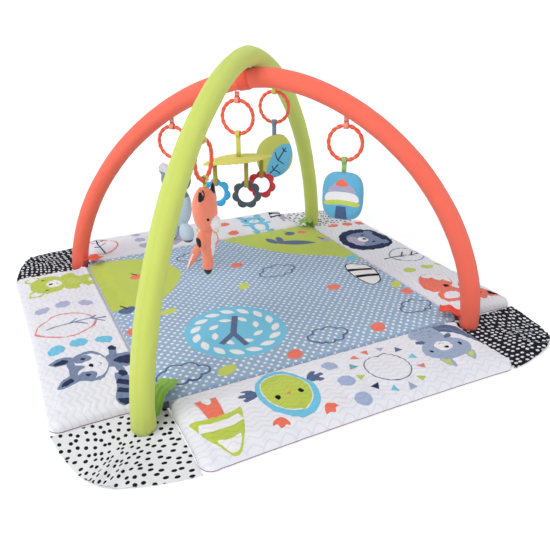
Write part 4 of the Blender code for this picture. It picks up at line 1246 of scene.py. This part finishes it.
def link_ring(name, top, yaw, ink, body, node):
    """An open ring of rope-twisted plastic with a plain snap beside its gap."""
    bm = bmesh.new()
    gap = 0.014
    rows = []
    steps, sides = 260, 18
    for i in range(steps + 1):
        angle = gap + (math.tau - 2 * gap) * i / steps
        near = min(angle, math.tau - angle)
        twist = min(1.0, max(0.0, (near - 0.26) / 0.06))
        end = min(1.0, (near - gap) / 0.03)
        ring = []
        for j in range(sides):
            t = math.tau * j / sides
            strand = 0.5 + 0.5 * math.cos(2.0 * t - 16.0 * angle)
            radius = LINK_WIRE * (1.0 - 0.32 * twist * (1.0 - strand ** 0.7)) * (0.90 + 0.10 * twist)
            radius *= 0.80 + 0.20 * math.sqrt(max(0.0, end))
            out = LINK_RADIUS + radius * math.cos(t)
            ring.append(bm.verts.new((out * math.cos(angle), radius * math.sin(t),
                                      out * math.sin(angle) - LINK_RADIUS)))
        rows.append(ring)
    skin(bm, rows)
    bm.transform(Matrix.Translation(top) @ Matrix.Rotation(yaw, 4, "Z"))
    piece = piece_from(bm, name, ink)
    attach(piece, body)
    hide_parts(node)


def flower_ring(name, node, body, ink, yaw):
    """A teething ring with seven round petals and a rolled edge."""
    low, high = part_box(node)
    centre = (Vector(low) + Vector(high)) / 2
    centre.z = high[2] - TEETHER_DEPTH
    bm = bmesh.new()
    rows = []
    steps, sides = 168, 16
    for i in range(steps):
        angle = math.tau * i / steps
        petal = abs(math.cos(angle * 3.5)) ** 0.8
        outer = 0.0240 + 0.0055 * petal
        hole = 0.0166
        half = (outer - hole) / 2
        ring = []
        for j in range(sides):
            t = math.tau * j / sides
            a = math.copysign(abs(math.cos(t)) ** 0.7, math.cos(t)) * half
            b = math.copysign(abs(math.sin(t)) ** 0.7, math.sin(t)) * 0.0035
            out = hole + half + a
            up = angle + math.pi / 2
            ring.append(bm.verts.new((out * math.cos(up), b, out * math.sin(up))))
        rows.append(ring)
    skin(bm, rows, ends=False)
    bm.transform(Matrix.Translation(centre) @ Matrix.Rotation(yaw, 4, "Z"))
    piece = piece_from(bm, name, ink)
    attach(piece, body)
    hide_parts(node)


# ---- plush toys ----------------------------------------------------------------------------------
def puffy(name, outline, front, back, inks, ground, thick, rim, grid, matrix, seed, body, nodes, droop=0.0):
    """A flat stuffed shape sewn from two printed sides."""
    bm = bmesh.new()
    order = [ground]
    ring = np.array(outline)
    low, high = ring.min(axis=0), ring.max(axis=0)
    layer = bm.loops.layers.uv.new("flat")
    for side, prints in ((1.0, front), (-1.0, back)):
        field = []
        x = low[0] + grid / 2
        row = 0
        while x < high[0]:
            y = low[1] + grid * (0.25 + 0.5 * (row % 2))
            while y < high[1]:
                if point_inside((x, y), outline):
                    field.append((x, y))
                y += grid
            x += grid * 0.87
            row += 1
        gap, _ = edge_distance(np.array(field), outline)
        field = [p for p, g in zip(field, gap) if g > grid * 0.9]
        flat, inked = cut_sheet(outline, prints, ground, (0.0006, 0.0018), field, 1e-7)
        gap, along = edge_distance(flat, outline)
        share = np.clip(gap / rim, 0.0, 1.0)
        z = 0.5 * thick * np.sqrt(np.clip(1.0 - (1.0 - share) ** 2, 0.0, 1.0))
        z += ruffle(along, gap, seed + side, 0.0055, 0.0070, 0.0009) * np.clip(gap / 0.002, 0.0, 1.0)
        z = np.where(gap < 1e-5, 0.0, np.maximum(z, 0.00015))
        made = []
        for p, h in zip(flat, z):
            sag = droop * (p[0] / max(high[0], 1e-6)) ** 2
            made.append(bm.verts.new((p[0], p[1], side * h - sag)))
        for tri, ink in inked:
            if ink not in order:
                order.append(ink)
            corners = [made[i] for i in tri]
            face = bm.faces.new(corners if side > 0 else corners[::-1])
            face.material_index = order.index(ink)
            face.smooth = True
            for loop in face.loops:
                loop[layer].uv = (loop.vert.co.x, loop.vert.co.y)
    bmesh.ops.delete(bm, geom=[v for v in bm.verts if not v.link_faces], context="VERTS")
    bmesh.ops.remove_doubles(bm, verts=bm.verts, dist=0.00002)
    bmesh.ops.recalc_face_normals(bm, faces=bm.faces)
    bm.transform(matrix)
    piece = piece_from(bm, name, *[inks[ink] for ink in order])
    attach(piece, body)
    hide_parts(*nodes)
    return piece


def blob(bm, centre, size, turn=0.0):
    made = bmesh.ops.create_uvsphere(bm, u_segments=28, v_segments=18, radius=0.5)["verts"]
    matrix = (Matrix.Translation(centre) @ Matrix.Rotation(turn, 4, "Y")
              @ Matrix.Diagonal((size[0], size[1], size[2], 1.0)))
    bmesh.ops.transform(bm, matrix=matrix, verts=made)


def spike(bm, centre, base, tall, turn, flat):
    made = bmesh.ops.create_cone(bm, cap_ends=True, segments=24, radius1=base, radius2=base * 0.16, depth=tall)["verts"]
    matrix = (Matrix.Translation(centre) @ Matrix.Rotation(turn, 4, "Y") @ Matrix.Translation((0.0, 0.0, tall / 2))
              @ Matrix.Diagonal((1.0, flat, 1.0, 1.0)))
    bmesh.ops.transform(bm, matrix=matrix, verts=made)


def stuffed(name, shapes, place, yaw, colour_of, inks, body, nodes, voxel=0.0014):
    """A plush animal: soft shapes melted into one skin, then coloured by region."""
    bm = bmesh.new()
    for kind, *values in shapes:
        if kind == "blob":
            blob(bm, *values)
        else:
            spike(bm, *values)
    piece = piece_from(bm, name)
    remesh = piece.modifiers.new("Remesh", "REMESH")
    remesh.mode = "VOXEL"
    remesh.voxel_size = voxel
    relax = piece.modifiers.new("Relax", "SMOOTH")
    relax.factor = 0.6
    relax.iterations = 6
    depsgraph = bpy.context.evaluated_depsgraph_get()
    skin = bpy.data.meshes.new_from_object(piece.evaluated_get(depsgraph))
    piece.modifiers.clear()
    piece.data = skin
    skin.materials.clear()
    order = []
    for vert in skin.vertices:
        bump = noise.noise(Vector(vert.co) * 130.0) * 0.0006
        vert.co += vert.normal * bump
    for face in skin.polygons:
        ink = colour_of(face.center, face.normal)
        if ink not in order:
            order.append(ink)
        face.material_index = order.index(ink)
    for ink in order:
        skin.materials.append(inks[ink])
    skin.shade_smooth()
    skin.transform(Matrix.Translation(place) @ Matrix.Rotation(yaw, 4, "Z"))
    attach(piece, body)
    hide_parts(*nodes)
    return piece


def in_blob(p, centre, size):
    return sum(((a - b) / (0.5 * c)) ** 2 for a, b, c in zip(p, centre, size)) < 1.0


def grey_colour(p, normal):
    if p.z > -0.030 and abs(p.x) > 0.012:
        return "ear"
    if in_blob(p, (0.0, -0.024, -0.052), (0.036, 0.030, 0.028)) and normal.y < -0.2:
        return "cream"
    if p.z > -0.080:
        return "dark"
    if p.z < -0.172:
        return "deep"
    return "pale"


def fox_colour(p, normal):
    if normal.x < -0.1 and in_blob(p, (-0.016, 0.001, -0.025), (0.020, 0.011, 0.024)):
        return "black"
    if normal.x < 0.2 and in_blob(p, (0.012, -0.008, -0.020), (0.020, 0.011, 0.022)):
        return "black"
    if p.z < -0.158:
        return "black"
    if in_blob(p, (-0.016, 0.008, -0.104), (0.018, 0.015, 0.021)):
        return "black"
    for side in (-1.0, 1.0):
        if in_blob(p, (0.0205 * side, -0.010, -0.063), (0.012, 0.0052, 0.0060)):
            return "black"
    if in_blob(p, (0.0, -0.030, -0.080), (0.0065, 0.010, 0.0065)):
        return "black"
    if in_blob(p, (0.0, -0.023, -0.074), (0.048, 0.026, 0.030)):
        return "cream"
    if normal.y < -0.35 and in_blob(p, (0.0, -0.014, -0.112), (0.020, 0.022, 0.050)):
        return "cream"
    return "body"


ACROSS = math.radians(-45.0)
ALONG = math.radians(45.0)
# Each ring's turn, its upper and lower tape, and the length of the lower tape's stem.
HUNG = {"grey": (ACROSS, "pink", "blue", 0.0180), "fox": (ALONG, "lime", "lime", 0.0150),
        "leaf": (ACROSS, "lime", "blue", 0.0290), "tree": (ACROSS, "pink", "green", 0.0220),
        "mobile": (ACROSS, "pink", "lime", 0.0450)}


def build_rings(tapes):
    """The rings and their tapes; returns the lowest point inside each ring, where its toy hangs."""
    orange = plastic("link_plastic", (236, 84, 44), 0.34, 0.35)
    lows = {}
    for prefix, (yaw, top_tape, low_tape, stem) in HUNG.items():
        low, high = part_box(prefix + "_link_ring")
        top = Vector(((low[0] + high[0]) / 2, (low[1] + high[1]) / 2, high[2] - LINK_WIRE))
        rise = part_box(prefix + "_hanger_loop")[1][2] - top.z - 0.0002
        ribbon("tape_%s_top" % prefix, eye_line(rise, False), TAPE_WIDTH, TAPE_THICK, top, yaw, tapes[top_tape],
               "gym_frame", [prefix + "_hanger_loop"])
        link_ring("ring_" + prefix, top, yaw, orange, prefix + "_link", prefix + "_link_ring")
        lows[prefix] = top - Vector((0.0, 0.0, 2.0 * LINK_RADIUS))
        body, node = prefix + "_toy", prefix + "_hang_loop"
        if prefix == "mobile":
            body, node = "mobile_leaf", "mobile_strap"
        ribbon("tape_%s_low" % prefix, eye_line(stem, True), TAPE_WIDTH, TAPE_THICK, lows[prefix], yaw,
               tapes[low_tape], body, [node])
    return lows


def build_plushes(lows):
    inks = {key: plush("plush_" + key, rgb) for key, rgb in (
        ("body", (150, 168, 184)), ("pale", (192, 208, 222)), ("deep", (70, 92, 106)), ("cream", (240, 236, 238)),
        ("black", (24, 24, 32)), ("dark", (112, 136, 146)), ("ear", (206, 208, 220)))}
    stuffed("soft_grey", [("blob", (0.0, 0.0, -0.046), (0.066, 0.044, 0.056)),
                          ("blob", (0.002, 0.0, -0.104), (0.058, 0.042, 0.090)),
                          ("blob", (-0.026, 0.0, -0.026), (0.026, 0.014, 0.026)),
                          ("blob", (0.026, 0.0, -0.026), (0.026, 0.014, 0.026)),
                          ("blob", (-0.014, -0.006, -0.160), (0.030, 0.034, 0.044), 0.3),
                          ("blob", (0.020, -0.006, -0.160), (0.030, 0.034, 0.044), -0.3)],
            lows["grey"], ACROSS, grey_colour, inks, "grey_toy", ["grey_plush"])
    fox_inks = dict(inks)
    fox_inks["body"] = plush("plush_fox_coat", (250, 142, 116))
    stuffed("soft_fox", [("blob", (0.0, 0.002, -0.052), (0.046, 0.042, 0.078)),
                         ("blob", (0.0, -0.014, -0.074), (0.025, 0.023, 0.026)),
                         ("spike", (-0.014, 0.001, -0.039), 0.0115, 0.032, -0.20, 0.62),
                         ("spike", (0.012, -0.008, -0.037), 0.0115, 0.031, 0.20, 0.62),
                         ("blob", (0.0, 0.0, -0.110), (0.028, 0.027, 0.066)),
                         ("blob", (-0.015, 0.006, -0.100), (0.015, 0.016, 0.028), 0.3),
                         ("blob", (0.013, -0.008, -0.106), (0.014, 0.015, 0.030), -0.4),
                         ("blob", (-0.001, 0.001, -0.144), (0.018, 0.020, 0.052), 0.05)],
            lows["fox"], math.radians(50.0), fox_colour, fox_inks, "fox_toy", ["fox_plush"],
            voxel=0.0012)
    build_fox_tail(lows["fox"], fox_inks)


def build_fox_tail(low, inks):
    """A flat brush that hangs out behind the fox's hip."""
    root = low + Vector((0.001, 0.011, -0.098))
    way = Vector((-0.022, 0.050, -0.085)).normalized()
    front = Vector((-0.39, -0.82, 0.42))
    facing = (front - way * front.dot(way)).normalized()
    hang = Matrix((way, facing.cross(way), facing)).transposed().to_4x4()
    brush = facing_up(flow([(-0.002, 0.0), (0.006, 0.0055), (0.030, 0.0085), (0.056, 0.0080), (0.088, 0.0030),
                            (0.104, 0.0), (0.086, -0.0040), (0.054, -0.0080), (0.026, -0.0060), (0.006, -0.0050)],
                           5))
    crease = [("cream", bar([(0.054, -0.0030), (0.076, -0.0022), (0.097, 0.0)], 0.0030))]
    puffy("soft_fox_tail", brush, crease, crease, inks, "body", 0.0070, 0.0060, 0.0020,
          Matrix.Translation(root) @ hang, 9.0, "fox_toy", ["fox_tail"])


def build_leaf(low, inks):
    shape = leaf(0.0, 0.0, 0.104, 0.082, 0.0, 0.58, 36)
    twigs = (((0.000, -0.013), (0.016, -0.015), (0.032, -0.017)), ((0.000, -0.013), (0.006, -0.006), (0.013, 0.000)),
             ((0.000, -0.013), (0.000, -0.020), (-0.002, -0.028)), ((0.024, -0.016), (0.030, -0.011)),
             ((0.024, -0.016), (0.026, -0.022)), ((-0.036, -0.008), (-0.022, -0.013), (-0.008, -0.017)),
             ((-0.024, -0.012), (-0.017, -0.006)), ((-0.024, -0.012), (-0.023, -0.020), (-0.026, -0.028)))
    art = [("sky", flow([(-0.046, -0.004), (-0.020, 0.003), (0.006, 0.004), (0.022, 0.001), (0.036, -0.008),
                            (0.041, -0.022), (0.024, -0.034), (0.0, -0.038), (-0.024, -0.034), (-0.042, -0.019)],
                           5))]
    art += [("deep", bar(run, 0.0024)) for run in twigs]
    turned = (Matrix.Translation(low) @ Matrix.Rotation(ACROSS, 4, "Z") @ Matrix.Translation((0.0, 0.0, -0.0730))
              @ Matrix.Rotation(math.pi / 2, 4, "X") @ Matrix.Rotation(math.radians(66.0), 4, "Z"))
    puffy("soft_leaf", shape, art, art, inks, "lime", 0.0215, 0.030, 0.0024, turned, 3.0,
          "leaf_toy", ["leaf_plush"])


def build_tree(low, inks):
    dome = []
    for i in range(72):
        t = math.tau * i / 72
        dome.append((0.040 * math.copysign(abs(math.cos(t)) ** 0.62, math.cos(t)),
                     0.047 * math.copysign(abs(math.sin(t)) ** 0.70, math.sin(t))))
    bands = (("mauve", [(-0.026, 0.010), (-0.018, 0.024), (0.0, 0.030), (0.018, 0.024), (0.026, 0.010), (0.0, 0.014)]),
             ("coral", [(-0.012, 0.026), (0.0, 0.037), (0.012, 0.026), (0.0, 0.022)]),
             ("paper", [(-0.027, 0.008), (0.0, 0.012), (0.027, 0.008), (0.031, -0.008), (0.0, -0.004),
                        (-0.031, -0.008)]),
             ("leaf", [(-0.031, -0.008), (0.0, -0.004), (0.031, -0.008), (0.031, -0.016), (0.0, -0.013),
                       (-0.031, -0.016)]))
    picture = [(ink, flow(points, 4)) for ink, points in bands]
    picture += [("navy", [(-0.012, -0.044), (0.012, -0.044), (0.009, -0.0165), (-0.009, -0.0165)])]
    turned = (Matrix.Translation(low) @ Matrix.Rotation(ACROSS, 4, "Z")
              @ Matrix.Translation((0.0, 0.0, -0.0695)) @ Matrix.Rotation(math.pi / 2, 4, "X"))
    puffy("soft_tree", dome, picture, [], inks, "blue", 0.0258, 0.022, 0.0024, turned, 5.0, "tree_toy",
          ["tree_plush"])


def build_canopy(low, inks):
    sail = leaf(0.0, 0.0, 0.156, 0.074, 0.0, 0.8, 40)
    ribs = [("leaf", bar([(-0.070, 0.0), (0.0, 0.001), (0.070, 0.0)], 0.0016))]
    turned = (Matrix.Translation(low - Vector((0.0, 0.0, HUNG["mobile"][3] + 0.0003 + 0.0035)))
              @ Matrix.Rotation(math.radians(4.0), 4, "Z"))
    puffy("soft_canopy", sail, ribs, ribs, inks, "canopy", 0.0066, 0.020, 0.0034, turned, 7.0, "mobile_leaf",
          ["mobile_canopy"], droop=0.0030)


def build_pendants(tape):
    """The three petalled rings and the folded tapes that hold them under the canopy."""
    flowers = {key: plastic("ring_" + key, rgb, 0.42, 0.15) for key, rgb in (
        ("blue", (40, 160, 214)), ("grey", (52, 72, 82)), ("red", (214, 36, 40)))}
    facing = math.radians(-26.0)
    fold = 0.00065
    for key, drop in (("blue", 0.030), ("grey", 0.034), ("red", 0.026)):
        node = "pendant_%s_flower_ring" % key
        low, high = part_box(node)
        flower_ring("teether_" + key, node, "pendant_" + key, flowers[key], facing)
        hang = Vector(((low[0] + high[0]) / 2, (low[1] + high[1]) / 2, high[2] + drop))
        eye_low = -drop - 0.0142
        half = 0.0035 + 0.0013
        line = [(-fold, 0.0004), (-fold, -drop * 0.4), (-fold, -drop + 0.0075), (-half * 0.55, -drop + 0.0038),
                (-half, -drop + 0.0006), (-half, -drop - 0.006), (-half, eye_low + 0.0012),
                (-half * 0.75, eye_low - 0.0003), (0.0, eye_low - 0.0007)]
        line += [(-y, z) for y, z in line[-2::-1]]
        ribbon("tape_pendant_" + key, line, 0.0082, 0.0011, hang, facing, tape, "pendant_" + key,
               ["pendant_%s_strap" % key])


def build_hanging():
    tapes = {key: cloth("tape_" + key, rgb, pitch=0.0009) for key, rgb in (
        ("pink", (252, 156, 140)), ("lime", (216, 210, 92)), ("olive", (176, 160, 62)), ("blue", (124, 152, 176)),
        ("green", (150, 200, 110)))}
    lows = build_rings(tapes)
    build_plushes(lows)
    inks = {key: cloth("toy_" + key, INK[key], pitch=0.0009, height=0.0005, vary=0.06)
            for key in ("sky", "navy", "coral", "mauve", "paper", "deep", "leaf")}
    inks["lime"] = cloth("toy_lime_soft", (208, 219, 108), pitch=0.0009, height=0.0005, vary=0.06)
    inks["blue"] = plush("toy_blue", (98, 176, 214), 0.06)
    inks["canopy"] = cloth("toy_canopy", (226, 226, 100), pitch=0.0009, height=0.0005, vary=0.07)
    build_leaf(lows["leaf"], inks)
    build_tree(lows["tree"], inks)
    build_canopy(lows["mobile"], inks)
    build_pendants(tapes["olive"])


def build_arches():
    coral = cloth("sleeve_coral", (255, 112, 90), pitch=0.0008, height=0.0003, rough=0.82, sheen=0.2, vary=0.03)
    lime = cloth("sleeve_lime", (206, 220, 106), pitch=0.0008, height=0.0003, rough=0.82, sheen=0.2, vary=0.04)
    build_sleeve("coral_sleeve", CORAL_ARCH, coral, 4.0)
    build_sleeve("lime_sleeve", LIME_ARCH, lime, 8.0)
    green = cloth("tab_green", (150, 196, 78), pitch=0.0008, vary=0.10)
    red = cloth("tab_coral", (244, 92, 70), pitch=0.0008, vary=0.08)
    build_foot_tab("soft_tab_front_left", "tab_front_left", LIME_ARCH, -1.0, green)
    build_foot_tab("soft_tab_back_right", "tab_back_right", LIME_ARCH, 1.0, green)
    build_foot_tab("soft_tab_back_left", "tab_back_left", CORAL_ARCH, -1.0, red)
    build_foot_tab("soft_tab_front_right", "tab_front_right", CORAL_ARCH, 1.0, red)
    path, _ = arch_path(CORAL_ARCH, 1200)
    low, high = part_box("crossing_strap")
    middle = (Vector(low) + Vector(high)) / 2
    near = min(path, key=lambda item: (item[0].xy - middle.xy).length)[1]
    part = [item for item in path if abs(item[1] - near) < 0.0135]
    part = part[::3]
    first, last = part[0][1], part[-1][1]

    def band(s, angle):
        edge = min(s - first, last - s)
        fold = 0.0004 * noise.noise(Vector((s * 160.0, math.cos(angle) * 2.2, math.sin(angle) * 2.2)))
        return SLEEVE + 0.0006 + 0.0010 * math.sqrt(min(1.0, max(0.0, edge / 0.0015))) + fold

    axis = Matrix.Rotation(CORAL_ARCH[3], 3, "Z") @ Vector((0.0, 1.0, 0.0))
    piece = tube("soft_crossing_strap", part, axis, band, red)
    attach(piece, "gym_frame")
    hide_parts("crossing_strap")
    inner = {"pole": plastic("fibre_rod", (226, 222, 208), 0.45, 0.1),
             "ferrule": plastic("steel_tube", (190, 192, 196), 0.3, 0.2),
             "cap": plastic("cap_black", (34, 34, 38), 0.5, 0.05)}
    for arch in ("coral", "lime"):
        for node in ("pole_a", "pole_b", "ferrule", "cap_a", "cap_b"):
            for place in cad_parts["%s_%s" % (arch, node)].material_slots:
                place.material = inner[node.split("_")[0]]


# ---- stage, light and camera ---------------------------------------------------------------------
def build_stage():
    bm = bmesh.new()
    bmesh.ops.create_grid(bm, x_segments=2, y_segments=2, size=FLOOR_HALF)
    rim = [e for e in bm.edges if len(e.link_faces) == 1]
    wall = bmesh.ops.extrude_edge_only(bm, edges=rim)["geom"]
    bmesh.ops.translate(bm, vec=(0.0, 0.0, FLOOR_RIM), verts=[g for g in wall if isinstance(g, bmesh.types.BMVert)])
    bmesh.ops.translate(bm, vec=(0.0, 0.0, -0.0008), verts=bm.verts)
    mesh = bpy.data.meshes.new("floor")
    bm.to_mesh(mesh)
    bm.free()
    floor = link_to_scene(bpy.data.objects.new("studio_floor", mesh))
    nodes = Nodes("studio_floor", 0.9, 0.0, 0.1)
    place = nodes.place(False)
    away = nodes.add("VectorMath", {0: place}, operation="LENGTH")
    glow = nodes.add("MapRange", {"Value": away.outputs["Value"], "From Min": 0.7, "From Max": 3.2, "To Min": 0.42,
                                  "To Max": 1.0})
    nodes.tree.links.new(glow.outputs[0], nodes.shader.inputs["Emission Color"])
    nodes.shader.inputs["Emission Strength"].default_value = 0.60
    mesh.materials.append(nodes.paint(nodes.tint((0.93, 0.93, 0.935, 1.0), place, 0.004, 2.0)))
    world = bpy.data.worlds.new("studio")
    world.use_nodes = True
    world.node_tree.nodes["Background"].inputs["Color"].default_value = (0.97, 0.985, 1.0, 1.0)
    world.node_tree.nodes["Background"].inputs["Strength"].default_value = 0.47
    bpy.context.scene.world = world
    for name, place, aim, size, power in (("key", (-1.7, -0.7, 2.3), (0.0, 0.0, 0.1), 1.8, 46.0),
                                          ("fill", (1.6, -1.8, 1.6), (0.0, 0.0, 0.1), 2.0, 9.0),
                                          ("back", (0.5, 2.2, 1.9), (0.0, 0.0, 0.2), 1.6, 10.0)):
        lamp = bpy.data.lights.new(name, "AREA")
        lamp.shape = "SQUARE"
        lamp.size = size
        lamp.energy = power
        holder = link_to_scene(bpy.data.objects.new(name, lamp))
        holder.location = place
        holder.rotation_euler = (Vector(aim) - Vector(place)).to_track_quat("-Z", "Y").to_euler()
    bpy.context.scene.view_settings.view_transform = "Standard"


def build_camera():
    lens = bpy.data.cameras.new("camera")
    lens.sensor_width = 36.0
    lens.lens = 38.44
    lens.clip_start = 0.05
    camera = link_to_scene(bpy.data.objects.new("camera", lens))
    azimuth, elevation, distance = math.radians(-26.43), math.radians(24.65), 1.372
    target = Vector((0.0870, 0.0758, 0.0))
    way = Vector((math.sin(azimuth) * math.cos(elevation), -math.cos(azimuth) * math.cos(elevation),
                  math.sin(elevation)))
    camera.location = target + way * distance
    camera.rotation_euler = (-way).to_track_quat("-Z", "Y").to_euler()
    bpy.context.scene.camera = camera


build_stage()
build_camera()
build_mat()
build_gussets()
build_fold_seams()
build_arches()
build_hanging()
